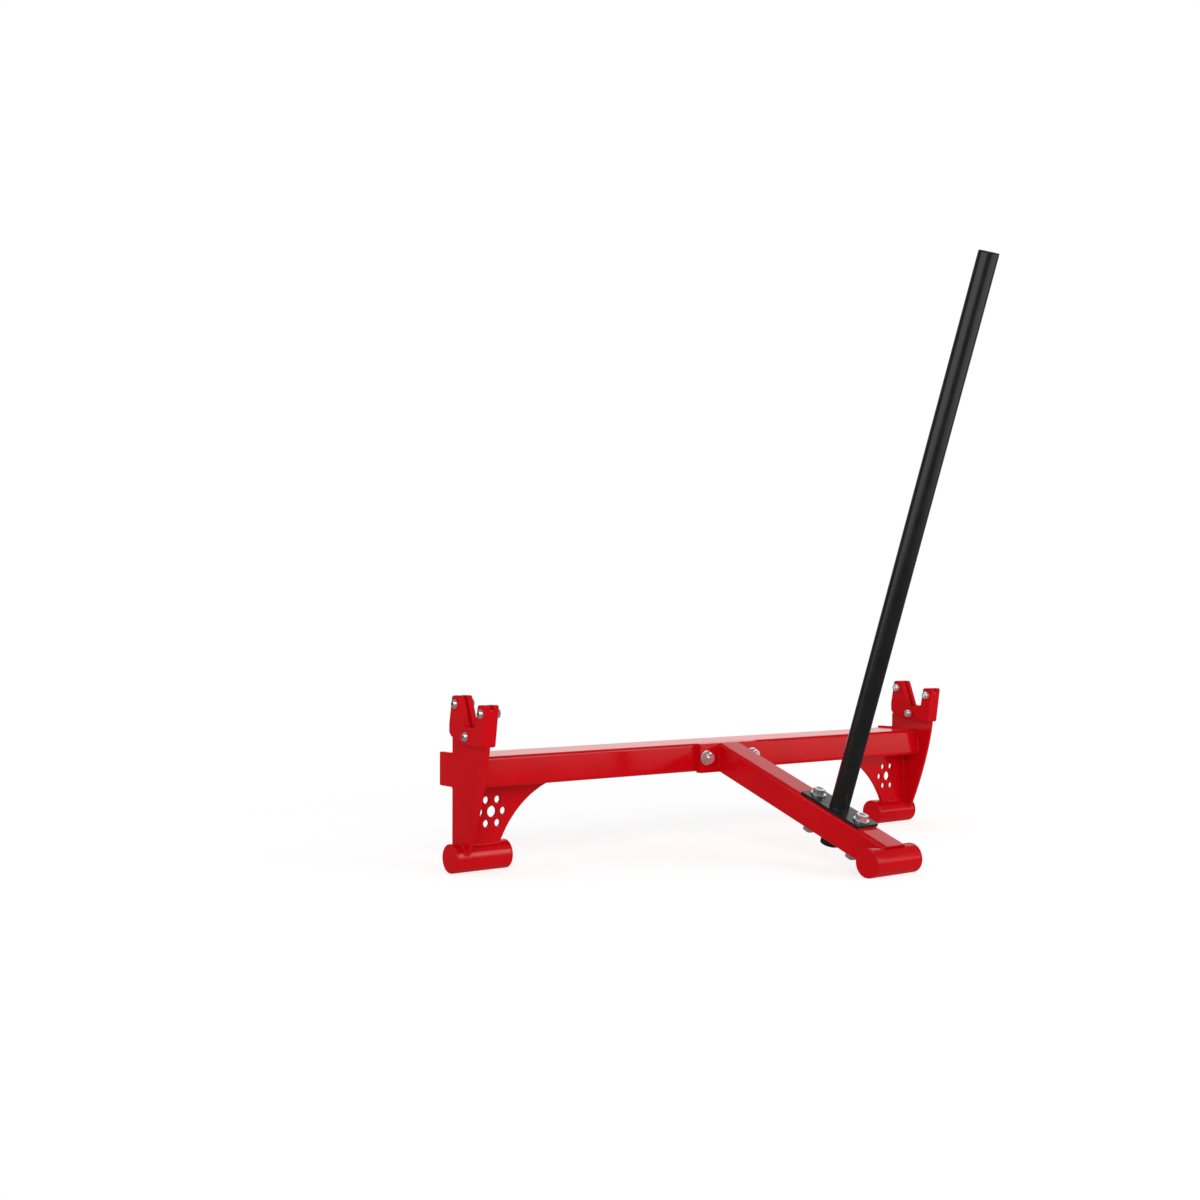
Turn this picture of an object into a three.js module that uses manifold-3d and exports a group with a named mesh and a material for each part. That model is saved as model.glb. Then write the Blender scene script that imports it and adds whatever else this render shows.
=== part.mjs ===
// A deadlift jack: a welded steel lever stand that lifts a loaded bar clear of the floor.
// Two lined saddles carry the bar, a crossbeam joins them and a sloping leg runs down to a front foot.
// The long handle is bolted on the leg, and pulling it rocks the whole jack on its round rear feet.
// Millimetres, Z up. X runs along the bar, and Y points away from the person at the handle.
// Heights start at the floor, and depths at the front face of the crossbeam.
import * as THREE from "three";
import { mergeVertices } from "three/addons/utils/BufferGeometryUtils.js";
import Module from "manifold-3d";

const wasm = await Module();
wasm.setup();

// Room between neighbouring pieces
const FACE_GAP = 0.1;
const SEAT_GAP = 0.3;
const HOLE_CLEARANCE = 0.8;
const OVERRUN = 30;

// How finely round things are divided
const TUBE_STEPS = 40;
const FASTENER_STEPS = 16;
const FILLET_STEPS = 3;
const HOLLOW_STEPS = 10;
const WEB_HOLE_STEPS = 18;
const SADDLE_HOLE_STEPS = 12;
const DOME_STEPS = 3;
const SWEEP_STEPS = 12;
const MERGE_DISTANCE = 0.001;

// Feet: short round tubes along X, closed by welded discs
const FOOT_DIAMETER = 48.3;
const FOOT_WALL = 3.2;
const FOOT_CAP_THICKNESS = 3;
const REAR_FOOT_LENGTH = 109;
const REAR_FOOT_OVERHANG = 23;
const REAR_FOOT_Y = 50.5;
const FRONT_FOOT_LENGTH = 108;

// Crossbeam: a rectangular tube lying flat, open at both ends
const BEAM_LENGTH = 1078;
const BEAM_DEPTH = 101.6;
const BEAM_HEIGHT = 50.8;
const BEAM_WALL = 3.2;
const BEAM_CORNER = 6;
const BEAM_BOTTOM = 142.2;

// End plates: an upright steel plate across each end of the beam
const PLATE_THICKNESS = 6.35;
const PLATE_REAR_Y = 70;
const PLATE_CORNER = 4;
const PLATE_HORN_CORNER = 9;
const PLATE_TOE_RISE = 6;
const PLATE_TOE_WIDTH = 2.3;
const PLATE_SWEEP_Y = -23;
const PLATE_SWEEP_Z = 134;
const LOBE_REACH = 8.4;
const LOBE_RISE = 3;

// Saddle liners: thick plastic cheeks, drawn from the axis of the bar that lies in them
const BAR_AXIS_Z = 261.5;
const LINER_THICKNESS = 10.5;
const LINER_LIP = 4;
const LINER_CHAMFER = 1;
const LINER_CORNER = 4;
const SEAT_CORNER = 2.5;
const SEAT_DROP = 19;
const SEAT_FRONT_Y = -15;
const SEAT_REAR_Y = 17;
const FRONT_HORN_RISE = 18;
const FRONT_HORN_INNER_Y = -22.7;
const FRONT_HORN_OUTER_Y = -45;
const REAR_HORN_RISE = 31;
const REAR_HORN_INNER_Y = 35;
const REAR_HORN_OUTER_Y = 55;
const LINER_BACK_Y = 64;
const LINER_BACK_TOP_DROP = 15.5;
const LINER_BACK_LOW_DROP = 31;
const LINER_HEEL_Y = 57;
const LINER_HEEL_DROP = 37.5;
const LINER_BELLY_Y = 25;
const LINER_BELLY_DROP = 47;
const LINER_TOE_Y = -34.5;
const LINER_TOE_DROP = 51;

// Saddle bolts: three through each end plate and its two liners
const SADDLE_BOLT_DIAMETER = 8;
const SADDLE_HEAD_DIAMETER = 16;
const SADDLE_HEAD_HEIGHT = 4.5;
const SADDLE_SOCKET_ACROSS = 5;
const SADDLE_SOCKET_DEPTH = 2.6;
const SADDLE_NUT_ACROSS = 14;
const SADDLE_NUT_HEIGHT = 6.5;
const SADDLE_BOLT_TIP = 2;
const HORN_BOLT_Y = -32;
const HORN_BOLT_RISE = 4;
const SEAT_BOLT_Y = 14;
const SEAT_BOLT_DROP = 35;
const BACK_BOLT_Y = 46;
const BACK_BOLT_RISE = 17;
const DOME_ANGLE = THREE.MathUtils.degToRad(62);

// Web gussets: an upright plate with a hollow edge under each end of the beam
const WEB_THICKNESS = 6.35;
const WEB_FRONT_Y = 38.1;
const WEB_REACH = 173.2;
const WEB_TOE_REACH = 68.5;
const WEB_HOLLOW_RADIUS = 175.6;
const WEB_HOLES_REACH = 51.5;
const WEB_HOLES_DROP = 44.5;
const WEB_CENTRE_HOLE = 19;
const WEB_RING_HOLE = 12.5;
const WEB_RING_RADIUS = 22.5;
const WEB_RING_COUNT = 6;

// Leg flange: a thick plate on the front of the beam, level with its top and just below its bottom
const FLANGE_WIDTH = 140;
const FLANGE_DROP = 2;
const FLANGE_THICKNESS = 12.7;
const FLANGE_CORNER = 1.5;
const FLANGE_BOLT_EDGE = 13.5;

// Centre leg: a square tube whose top edge starts at the top of the flange
const LEG_SIZE = 50.8;
const LEG_WALL = 3.2;
const LEG_CORNER = 6;
const LEG_SLOPE = THREE.MathUtils.degToRad(19.7);
const LEG_FOOT_RISE = 21.7;
const LEG_TONGUE = 3.8;

// Handle and its base plate, square to the leg
const HANDLE_DIAMETER = 33;
const HANDLE_WALL = 3;
const HANDLE_STATION = 290;
const HANDLE_RISE = 938.7;
const HANDLE_STUB = 12;
const HANDLE_CAP_THICKNESS = 2.5;
const HANDLE_CAP_CHAMFER = 0.8;
const HANDLE_PLUG_LENGTH = 18;
const BASE_LENGTH = 138;
const BASE_THICKNESS = 4.8;
const BASE_CORNER = 2;
const BASE_BOLT_EDGE = 17;

// Frame bolts, the same in the flange and in the base plate
const BOLT_DIAMETER = 12.7;
const HEX_ACROSS = 19;
const HEAD_HEIGHT = 8;
const NUT_HEIGHT = 9;
const BOLT_TIP = 2.5;
const TIP_CHAMFER = 1;
const WASHER_DIAMETER = 27;
const WASHER_THICKNESS = 2.4;
const HEX_SIDES = 6;
const HEX_CHAMFER_ANGLE = THREE.MathUtils.degToRad(30);
const HEX_BLANK_SHARE = 1.08;

// What follows from the sizes above
const FOOT_RADIUS = FOOT_DIAMETER / 2;
const HALF_BEAM = BEAM_LENGTH / 2;
const BEAM_TOP = BEAM_BOTTOM + BEAM_HEIGHT;
const BEAM_MIDDLE = BEAM_BOTTOM + BEAM_HEIGHT / 2;
const PLATE_INNER_X = HALF_BEAM + FACE_GAP;
const PLATE_OUTER_X = PLATE_INNER_X + PLATE_THICKNESS;
const SADDLE_INNER_X = HALF_BEAM - LINER_THICKNESS;
const SADDLE_OUTER_X = PLATE_OUTER_X + FACE_GAP + LINER_THICKNESS;
const FLANGE_FRONT_Y = -FACE_GAP - FLANGE_THICKNESS;
const FLANGE_BOLT_X = FLANGE_WIDTH / 2 - FLANGE_BOLT_EDGE;
const LEG_FOOT_DEPTH = LEG_SIZE - LEG_FOOT_RISE;
const BASE_BOLT_REACH = BASE_LENGTH / 2 - BASE_BOLT_EDGE;
const HANDLE_RADIUS = HANDLE_DIAMETER / 2;
const HANDLE_BORE_RADIUS = HANDLE_RADIUS + HOLE_CLEARANCE / 2;
const BOLT_HOLE_RADIUS = (BOLT_DIAMETER + HOLE_CLEARANCE) / 2;
const SADDLE_HOLE_RADIUS = (SADDLE_BOLT_DIAMETER + HOLE_CLEARANCE) / 2;
const QUARTER_TURN = Math.PI / 2;
const HALF_TURN = Math.PI;

// The front foot lies on the floor, so the slope of the leg sets how far out it is.
const legSine = Math.sin(LEG_SLOPE);
const legCosine = Math.cos(LEG_SLOPE);
const FOOT_STATION = (BEAM_TOP - FOOT_RADIUS - LEG_FOOT_DEPTH * legCosine) / legSine;
const FRONT_FOOT_Y = FLANGE_FRONT_Y - FOOT_STATION * legCosine + LEG_FOOT_DEPTH * legSine;

const redCoat = new THREE.MeshStandardMaterial({ color: 0xb5070d, roughness: 0.2, metalness: 0 });
const redPlastic = new THREE.MeshStandardMaterial({ color: 0xaa070c, roughness: 0.35, metalness: 0 });
const blackCoat = new THREE.MeshStandardMaterial({ color: 0x1a1a1b, roughness: 0.4, metalness: 0 });
const blackPlastic = new THREE.MeshStandardMaterial({ color: 0x151515, roughness: 0.5, metalness: 0 });
const zinc = new THREE.MeshStandardMaterial({ color: 0xc9ccd0, roughness: 0.25, metalness: 1 });

// A closed geometry as a solid that can be cut and joined
function solid(geometry) {
  const bare = geometry.clone();
  bare.deleteAttribute("normal");
  bare.deleteAttribute("uv");
  const merged = mergeVertices(bare, MERGE_DISTANCE);
  return new wasm.Manifold(
    new wasm.Mesh({
      numProp: 3,
      vertProperties: merged.attributes.position.array,
      triVerts: new Uint32Array(merged.index.array),
    }),
  );
}

function toGeometry(body) {
  const mesh = body.getMesh();
  const geometry = new THREE.BufferGeometry();
  geometry.setAttribute("position", new THREE.BufferAttribute(mesh.vertProperties, 3));
  geometry.setIndex(new THREE.BufferAttribute(mesh.triVerts, 1));
  const flat = geometry.toNonIndexed();
  flat.computeVertexNormals();
  return flat;
}

function cut(geometry, ...tools) {
  return toGeometry(tools.reduce((body, tool) => body.subtract(solid(tool)), solid(geometry)));
}

function piece(name, geometry, material) {
  const mesh = new THREE.Mesh(geometry, material);
  mesh.name = name;
  return mesh;
}

function at(object, x, y, z) {
  object.position.set(x, y, z);
  return object;
}

function groupOf(...members) {
  return new THREE.Group().add(...members);
}

// A turned piece about Z from [radius, height] points, bottom first
function lathe(points, steps = FASTENER_STEPS) {
  const profile = points.map(([radius, height]) => new THREE.Vector2(radius, height));
  return new THREE.LatheGeometry(profile, steps).rotateX(QUARTER_TURN);
}

function rod(radius, low, high, steps = TUBE_STEPS) {
  return lathe([[0, low], [radius, low], [radius, high], [0, high]], steps);
}

function ring(inner, outer, low, high, steps = TUBE_STEPS) {
  return lathe([[inner, low], [outer, low], [outer, high], [inner, high], [inner, low]], steps);
}

// A long rod along X that copes whatever rests on a foot tube
function copeRod(footY) {
  const reach = HALF_BEAM + OVERRUN;
  return rod(FOOT_RADIUS + SEAT_GAP, -reach, reach).rotateY(QUARTER_TURN).translate(0, footY, FOOT_RADIUS);
}

// An outline through corners [u, v, fillet], each fillet limited by the sides next to it
function filletedPath(corners, path = new THREE.Shape()) {
  const count = corners.length;
  corners.forEach(([u, v, fillet], index) => {
    const [beforeU, beforeV] = corners[(index + count - 1) % count];
    const [afterU, afterV] = corners[(index + 1) % count];
    const back = new THREE.Vector2(beforeU - u, beforeV - v);
    const ahead = new THREE.Vector2(afterU - u, afterV - v);
    const reach = Math.min(fillet, back.length() / 2, ahead.length() / 2);
    back.setLength(reach);
    ahead.setLength(reach);
    if (index === 0) path.moveTo(u + back.x, v + back.y);
    else path.lineTo(u + back.x, v + back.y);
    if (reach > 0) path.quadraticCurveTo(u, v, u + ahead.x, v + ahead.y);
  });
  path.closePath();
  return path;
}

function rectanglePath(width, height, fillet, path) {
  const u = width / 2;
  const v = height / 2;
  const corners = [[-u, -v, fillet], [u, -v, fillet], [u, v, fillet], [-u, v, fillet]];
  return filletedPath(corners, path);
}

function circlePath(u, v, radius, steps = FASTENER_STEPS) {
  return new THREE.Path(new THREE.EllipseCurve(u, v, radius, radius).getPoints(steps));
}

function extrude(shape, depth, curveSegments = FILLET_STEPS) {
  return new THREE.ExtrudeGeometry(shape, { depth, curveSegments, bevelEnabled: false });
}

// Stands an outline up in Y and Z, with its thickness along X.
function standAcross(geometry) {
  return geometry.rotateX(QUARTER_TURN).rotateZ(QUARTER_TURN);
}

// Stands an outline up in X and Z, with its thickness towards the front.
function standAlong(geometry) {
  return geometry.rotateX(QUARTER_TURN);
}

// A rectangular tube section
function tubeSection(width, height, corner, wall) {
  const section = rectanglePath(width, height, corner);
  section.holes.push(rectanglePath(width - 2 * wall, height - 2 * wall, corner - wall, new THREE.Path()));
  return section;
}

// A foot on the X axis: the tube and a disc on each end
function foot(name, length, lowEnd, highEnd) {
  const half = length / 2 - FOOT_CAP_THICKNESS - FACE_GAP;
  const disc = rod(FOOT_RADIUS, 0, FOOT_CAP_THICKNESS);
  const lowCap = piece(`${name}_${lowEnd}_cap`, disc, redCoat);
  const highCap = piece(`${name}_${highEnd}_cap`, disc, redCoat);
  lowCap.rotation.y = -QUARTER_TURN;
  highCap.rotation.y = QUARTER_TURN;
  const tube = ring(FOOT_RADIUS - FOOT_WALL, FOOT_RADIUS, -half, half).rotateY(QUARTER_TURN);
  return groupOf(
    piece(`${name}_tube`, tube, redCoat),
    at(lowCap, -half - FACE_GAP, 0, 0),
    at(highCap, half + FACE_GAP, 0, 0),
  );
}

function crossbeam() {
  const section = tubeSection(BEAM_DEPTH, BEAM_HEIGHT, BEAM_CORNER, BEAM_WALL);
  const tube = standAcross(extrude(section, BEAM_LENGTH));
  tube.translate(-HALF_BEAM, BEAM_DEPTH / 2, BEAM_MIDDLE);
  const holes = [-FLANGE_BOLT_X, FLANGE_BOLT_X].map((x) => {
    const drill = rod(BOLT_HOLE_RADIUS, -OVERRUN, BEAM_DEPTH + OVERRUN, FASTENER_STEPS);
    return drill.rotateX(-QUARTER_TURN).translate(x, 0, BEAM_MIDDLE);
  });
  return piece("crossbeam", cut(tube, ...holes), redCoat);
}

// The saddle bolts' places in Y and Z
const saddleBolts = {
  horn: [HORN_BOLT_Y, BAR_AXIS_Z + HORN_BOLT_RISE],
  seat: [SEAT_BOLT_Y, BAR_AXIS_Z - SEAT_BOLT_DROP],
  back: [BACK_BOLT_Y, BAR_AXIS_Z + BACK_BOLT_RISE],
};

function saddleHole(y, z) {
  return circlePath(y, z, SADDLE_HOLE_RADIUS, SADDLE_HOLE_STEPS);
}

function drillSaddle(shape) {
  Object.values(saddleBolts).forEach(([y, z]) => shape.holes.push(saddleHole(y, z)));
  return shape;
}

// The open-topped notch for the bar and the two horns beside it, drawn back from the liners by a lip
function notchCorners(lip, corner, frontCorner) {
  const seatZ = BAR_AXIS_Z - SEAT_DROP - lip;
  const rearTop = BAR_AXIS_Z + REAR_HORN_RISE - lip;
  const frontTop = BAR_AXIS_Z + FRONT_HORN_RISE - lip;
  return [
    [LINER_BACK_Y - lip, BAR_AXIS_Z - LINER_BACK_LOW_DROP, corner],
    [LINER_BACK_Y - lip, BAR_AXIS_Z - LINER_BACK_TOP_DROP, corner],
    [REAR_HORN_OUTER_Y - lip, rearTop, corner],
    [REAR_HORN_INNER_Y + lip, rearTop, corner],
    [SEAT_REAR_Y + lip, seatZ, SEAT_CORNER],
    [SEAT_FRONT_Y - lip, seatZ, SEAT_CORNER],
    [FRONT_HORN_INNER_Y - lip, frontTop, corner],
    [frontEdgeY(frontTop), frontTop, frontCorner],
  ];
}

// The straight upper front edge, which the plate and its liners share
function frontEdgeY(z) {
  const low = BAR_AXIS_Z - LINER_TOE_DROP;
  const high = BAR_AXIS_Z + FRONT_HORN_RISE;
  return THREE.MathUtils.mapLinear(z, low, high, LINER_TOE_Y, FRONT_HORN_OUTER_Y);
}

// A liner lies flat against the plate and is chamfered all round on its other side,
// which faces along X when outward is 1 and against X when it is -1.
function linerGeometry(outward) {
  const shape = filletedPath([
    [LINER_TOE_Y, BAR_AXIS_Z - LINER_TOE_DROP, LINER_CORNER],
    [LINER_BELLY_Y, BAR_AXIS_Z - LINER_BELLY_DROP, LINER_CORNER],
    [LINER_HEEL_Y, BAR_AXIS_Z - LINER_HEEL_DROP, LINER_CORNER],
    ...notchCorners(0, LINER_CORNER, LINER_CORNER),
  ]);
  const chamfered = new THREE.ExtrudeGeometry(drillSaddle(shape), {
    depth: LINER_THICKNESS,
    bevelThickness: LINER_CHAMFER,
    bevelSize: LINER_CHAMFER,
    bevelOffset: -LINER_CHAMFER,
    bevelSegments: 1,
    curveSegments: FILLET_STEPS,
  });
  const flatSide = outward > 0 ? LINER_CHAMFER : LINER_CHAMFER - LINER_THICKNESS;
  const kept = solid(standAcross(chamfered)).trimByPlane([outward, 0, 0], flatSide);
  return toGeometry(kept).translate(-outward * LINER_CHAMFER, 0, 0);
}

// The end plate: notched inside the liners, swept back to the foot and lobed to close the beam
function endPlateGeometry() {
  const toeY = REAR_FOOT_Y - FOOT_RADIUS - PLATE_TOE_WIDTH;
  const toeZ = FOOT_RADIUS + PLATE_TOE_RISE;
  const lobeY = BEAM_DEPTH + LOBE_REACH;
  const sweep = new THREE.QuadraticBezierCurve(
    new THREE.Vector2(LINER_TOE_Y, BAR_AXIS_Z - LINER_TOE_DROP),
    new THREE.Vector2(PLATE_SWEEP_Y, PLATE_SWEEP_Z),
    new THREE.Vector2(toeY, toeZ),
  );
  const shape = filletedPath([
    [PLATE_REAR_Y, toeZ, 0],
    [PLATE_REAR_Y, BEAM_BOTTOM - LOBE_RISE, PLATE_CORNER],
    [lobeY, BEAM_BOTTOM - LOBE_RISE, PLATE_CORNER],
    [lobeY, BEAM_TOP + LOBE_RISE, PLATE_CORNER],
    [PLATE_REAR_Y, BEAM_TOP + LOBE_RISE, PLATE_CORNER],
    [PLATE_REAR_Y, BAR_AXIS_Z - LINER_HEEL_DROP, PLATE_CORNER],
    ...notchCorners(LINER_LIP, PLATE_CORNER, PLATE_HORN_CORNER),
    ...sweep.getPoints(SWEEP_STEPS).map((point) => [point.x, point.y, 0]),
  ]);
  return cut(standAcross(extrude(drillSaddle(shape), PLATE_THICKNESS)), copeRod(REAR_FOOT_Y));
}

// The centre of a circle of a given radius through two points, to the left of the way between them
function arcCentre(from, to, radius) {
  const along = to.clone().sub(from);
  const offset = Math.sqrt(radius ** 2 - along.lengthSq() / 4);
  const side = new THREE.Vector2(-along.y, along.x).setLength(offset);
  return from.clone().add(to).divideScalar(2).add(side);
}

// Round holes that lighten the web: one in the middle of a ring of six
function lighteningHoles() {
  const x = HALF_BEAM - WEB_HOLES_REACH;
  const z = BEAM_BOTTOM - WEB_HOLES_DROP;
  const holes = [circlePath(x, z, WEB_CENTRE_HOLE / 2, WEB_HOLE_STEPS)];
  for (let index = 0; index < WEB_RING_COUNT; index++) {
    const angle = (index / WEB_RING_COUNT) * 2 * Math.PI;
    const u = x + WEB_RING_RADIUS * Math.cos(angle);
    const v = z + WEB_RING_RADIUS * Math.sin(angle);
    holes.push(circlePath(u, v, WEB_RING_HOLE / 2, WEB_HOLE_STEPS));
  }
  return holes;
}

function webGeometry() {
  const tip = new THREE.Vector2(HALF_BEAM - WEB_REACH, BEAM_BOTTOM - FACE_GAP);
  const toe = new THREE.Vector2(HALF_BEAM - WEB_TOE_REACH, FOOT_DIAMETER);
  const centre = arcCentre(toe, tip, WEB_HOLLOW_RADIUS);
  const [startAngle, endAngle] = [tip, toe].map((point) => point.clone().sub(centre).angle());
  const lowZ = FOOT_RADIUS + FOOT_RADIUS / 2;
  const shape = new THREE.Shape();
  shape.moveTo(HALF_BEAM, tip.y);
  shape.lineTo(tip.x, tip.y);
  shape.absarc(centre.x, centre.y, WEB_HOLLOW_RADIUS, startAngle, endAngle, true);
  shape.lineTo(toe.x, lowZ);
  shape.lineTo(HALF_BEAM, lowZ);
  shape.closePath();
  shape.holes.push(...lighteningHoles());
  const plate = standAlong(extrude(shape, WEB_THICKNESS, HOLLOW_STEPS));
  plate.translate(0, WEB_FRONT_Y + WEB_THICKNESS, 0);
  return cut(plate, copeRod(REAR_FOOT_Y));
}

// A hexagonal prism about Z whose top corners are turned off, and its base corners too if asked
function hexBlank(across, height, baseTurned) {
  const corner = across / 2 / Math.cos(Math.PI / HEX_SIDES);
  const beyond = corner * HEX_BLANK_SHARE;
  const drop = (beyond - across / 2) * Math.tan(HEX_CHAMFER_ANGLE);
  const base = baseTurned ? [[across / 2, 0], [beyond, drop]] : [[beyond, 0]];
  const envelope = lathe([[0, 0], ...base, [beyond, height - drop], [across / 2, height], [0, height]]);
  return solid(rod(corner, 0, height, HEX_SIDES)).intersect(solid(envelope));
}

// A shank that hangs from z = top to z = -length, with a chamfered end
function shank(diameter, length, top) {
  const radius = diameter / 2;
  return lathe([
    [0, -length],
    [radius - TIP_CHAMFER, -length],
    [radius, TIP_CHAMFER - length],
    [radius, top],
    [0, top],
  ]);
}

function nutGeometry(across, height, diameter) {
  const bore = rod((diameter + HOLE_CLEARANCE) / 2, -OVERRUN, height + OVERRUN, FASTENER_STEPS);
  return toGeometry(hexBlank(across, height, true).subtract(solid(bore)));
}

// A through bolt about Z: its head and a washer above z = 0, a washer and the nut below -grip
function boltSet(name, grip) {
  const headZ = WASHER_THICKNESS + 2 * SEAT_GAP;
  const nutZ = -grip - WASHER_THICKNESS - 2 * SEAT_GAP;
  const stem = shank(BOLT_DIAMETER, headZ - nutZ + NUT_HEIGHT + BOLT_TIP, HEAD_HEIGHT / 2);
  const bolt = toGeometry(hexBlank(HEX_ACROSS, HEAD_HEIGHT, false).add(solid(stem)));
  const washer = ring(BOLT_HOLE_RADIUS, WASHER_DIAMETER / 2, 0, WASHER_THICKNESS, FASTENER_STEPS);
  const nut = piece(`${name}_nut`, nutGeometry(HEX_ACROSS, NUT_HEIGHT, BOLT_DIAMETER), zinc);
  nut.rotation.x = HALF_TURN;
  return groupOf(
    at(piece(`${name}_bolt`, bolt, zinc), 0, 0, headZ),
    at(piece(`${name}_head_washer`, washer, zinc), 0, 0, SEAT_GAP),
    at(piece(`${name}_nut_washer`, washer, zinc), 0, 0, -grip - SEAT_GAP - WASHER_THICKNESS),
    at(nut, 0, 0, nutZ),
  );
}

// A saddle bolt about Z: a low domed head with a hexagon socket above z = 0, its nut below -grip
function saddleBoltSet(name, grip) {
  const radius = SADDLE_HEAD_DIAMETER / 2;
  const crown = SADDLE_HEAD_HEIGHT / Math.sin(DOME_ANGLE);
  const dome = new THREE.EllipseCurve(0, 0, radius, crown, 0, DOME_ANGLE).getPoints(DOME_STEPS);
  const head = lathe([[0, 0], ...dome.map((point) => [point.x, point.y]), [0, SADDLE_HEAD_HEIGHT]]);
  const socketCorner = SADDLE_SOCKET_ACROSS / 2 / Math.cos(Math.PI / HEX_SIDES);
  const socketFloor = SADDLE_HEAD_HEIGHT - SADDLE_SOCKET_DEPTH;
  const socket = rod(socketCorner, socketFloor, SADDLE_HEAD_HEIGHT + OVERRUN, HEX_SIDES);
  const length = grip + 2 * SEAT_GAP + SADDLE_NUT_HEIGHT + SADDLE_BOLT_TIP;
  const stem = shank(SADDLE_BOLT_DIAMETER, length, socketFloor / 2);
  const bolt = toGeometry(solid(head).subtract(solid(socket)).add(solid(stem)));
  const nutShape = nutGeometry(SADDLE_NUT_ACROSS, SADDLE_NUT_HEIGHT, SADDLE_BOLT_DIAMETER);
  const nut = piece(`${name}_nut`, nutShape, zinc);
  nut.rotation.x = HALF_TURN;
  return groupOf(
    at(piece(`${name}_bolt`, bolt, zinc), 0, 0, SEAT_GAP),
    at(nut, 0, 0, -grip - SEAT_GAP),
  );
}

// Everything at one end of the beam, drawn for the right-hand end
function beamEnd(side) {
  const innerLiner = piece(`${side}_inner_liner`, linerGeometry(-1), redPlastic);
  const outerLiner = piece(`${side}_outer_liner`, linerGeometry(1), redPlastic);
  const plate = piece(`${side}_end_plate`, endPlateGeometry(), redCoat);
  const rearFoot = foot(`${side}_rear_foot`, REAR_FOOT_LENGTH, "inner", "outer");
  const rearFootX = HALF_BEAM + REAR_FOOT_OVERHANG - REAR_FOOT_LENGTH / 2;
  const end = groupOf(
    at(innerLiner, SADDLE_INNER_X, 0, 0),
    at(outerLiner, PLATE_OUTER_X + FACE_GAP, 0, 0),
    at(plate, PLATE_INNER_X, 0, 0),
    piece(`${side}_web_gusset`, webGeometry(), redCoat),
    at(rearFoot, rearFootX, REAR_FOOT_Y, FOOT_RADIUS),
  );
  Object.entries(saddleBolts).forEach(([place, [y, z]]) => {
    const set = saddleBoltSet(`${side}_${place}_saddle`, SADDLE_OUTER_X - SADDLE_INNER_X);
    set.rotation.y = QUARTER_TURN;
    end.add(at(set, SADDLE_OUTER_X, y, z));
  });
  return end;
}

function legFlange() {
  const shape = rectanglePath(FLANGE_WIDTH, BEAM_HEIGHT + FLANGE_DROP, FLANGE_CORNER);
  const boltZ = FLANGE_DROP / 2;
  shape.holes.push(...[-FLANGE_BOLT_X, FLANGE_BOLT_X].map((x) => circlePath(x, boltZ, BOLT_HOLE_RADIUS)));
  const plate = standAlong(extrude(shape, FLANGE_THICKNESS));
  return at(piece("leg_flange", plate, redCoat), 0, -FACE_GAP, BEAM_MIDDLE - boltZ);
}

function flangeBolts() {
  return [["left", -FLANGE_BOLT_X], ["right", FLANGE_BOLT_X]].map(([side, x]) => {
    const set = boltSet(`${side}_flange`, BEAM_DEPTH - FLANGE_FRONT_Y);
    set.rotation.x = -QUARTER_TURN;
    return at(set, x, BEAM_DEPTH, BEAM_MIDDLE);
  });
}

// The bolts' places along the leg
const baseBolts = {
  front: -HANDLE_STATION - BASE_BOLT_REACH,
  rear: -HANDLE_STATION + BASE_BOLT_REACH,
};

// The leg in its own sloping frame: mitred on the flange, coped over the foot and drilled for the handle
function centreLeg(intoLeg) {
  const section = tubeSection(LEG_SIZE, LEG_SIZE, LEG_CORNER, LEG_WALL);
  const tube = standAlong(extrude(section, FOOT_STATION + LEG_TONGUE)).translate(0, 0, -LEG_SIZE / 2);
  const mitre = new THREE.BoxGeometry(2 * LEG_SIZE, LEG_SIZE, 4 * LEG_SIZE);
  mitre.translate(0, FLANGE_FRONT_Y - SEAT_GAP + LEG_SIZE / 2, BEAM_TOP).applyMatrix4(intoLeg);
  const cope = copeRod(FRONT_FOOT_Y).applyMatrix4(intoLeg);
  const low = -LEG_SIZE - OVERRUN;
  const handleHole = rod(HANDLE_BORE_RADIUS, low, OVERRUN).translate(0, -HANDLE_STATION, 0);
  const boltHoles = Object.values(baseBolts).map((y) =>
    rod(BOLT_HOLE_RADIUS, low, OVERRUN, FASTENER_STEPS).translate(0, y, 0),
  );
  return piece("centre_leg", cut(tube, mitre, cope, handleHole, ...boltHoles), redCoat);
}

function handleBase() {
  const shape = rectanglePath(LEG_SIZE, BASE_LENGTH, BASE_CORNER);
  shape.holes.push(circlePath(0, 0, HANDLE_BORE_RADIUS, TUBE_STEPS));
  Object.values(baseBolts).forEach((y) =>
    shape.holes.push(circlePath(0, y + HANDLE_STATION, BOLT_HOLE_RADIUS)),
  );
  const plate = piece("handle_base_plate", extrude(shape, BASE_THICKNESS), blackCoat);
  return at(plate, 0, -HANDLE_STATION, SEAT_GAP);
}

function handleTube() {
  const low = -LEG_SIZE - HANDLE_STUB;
  const tube = ring(HANDLE_RADIUS - HANDLE_WALL, HANDLE_RADIUS, low, HANDLE_RISE);
  return at(piece("handle_tube", tube, blackCoat), 0, -HANDLE_STATION, 0);
}

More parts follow.
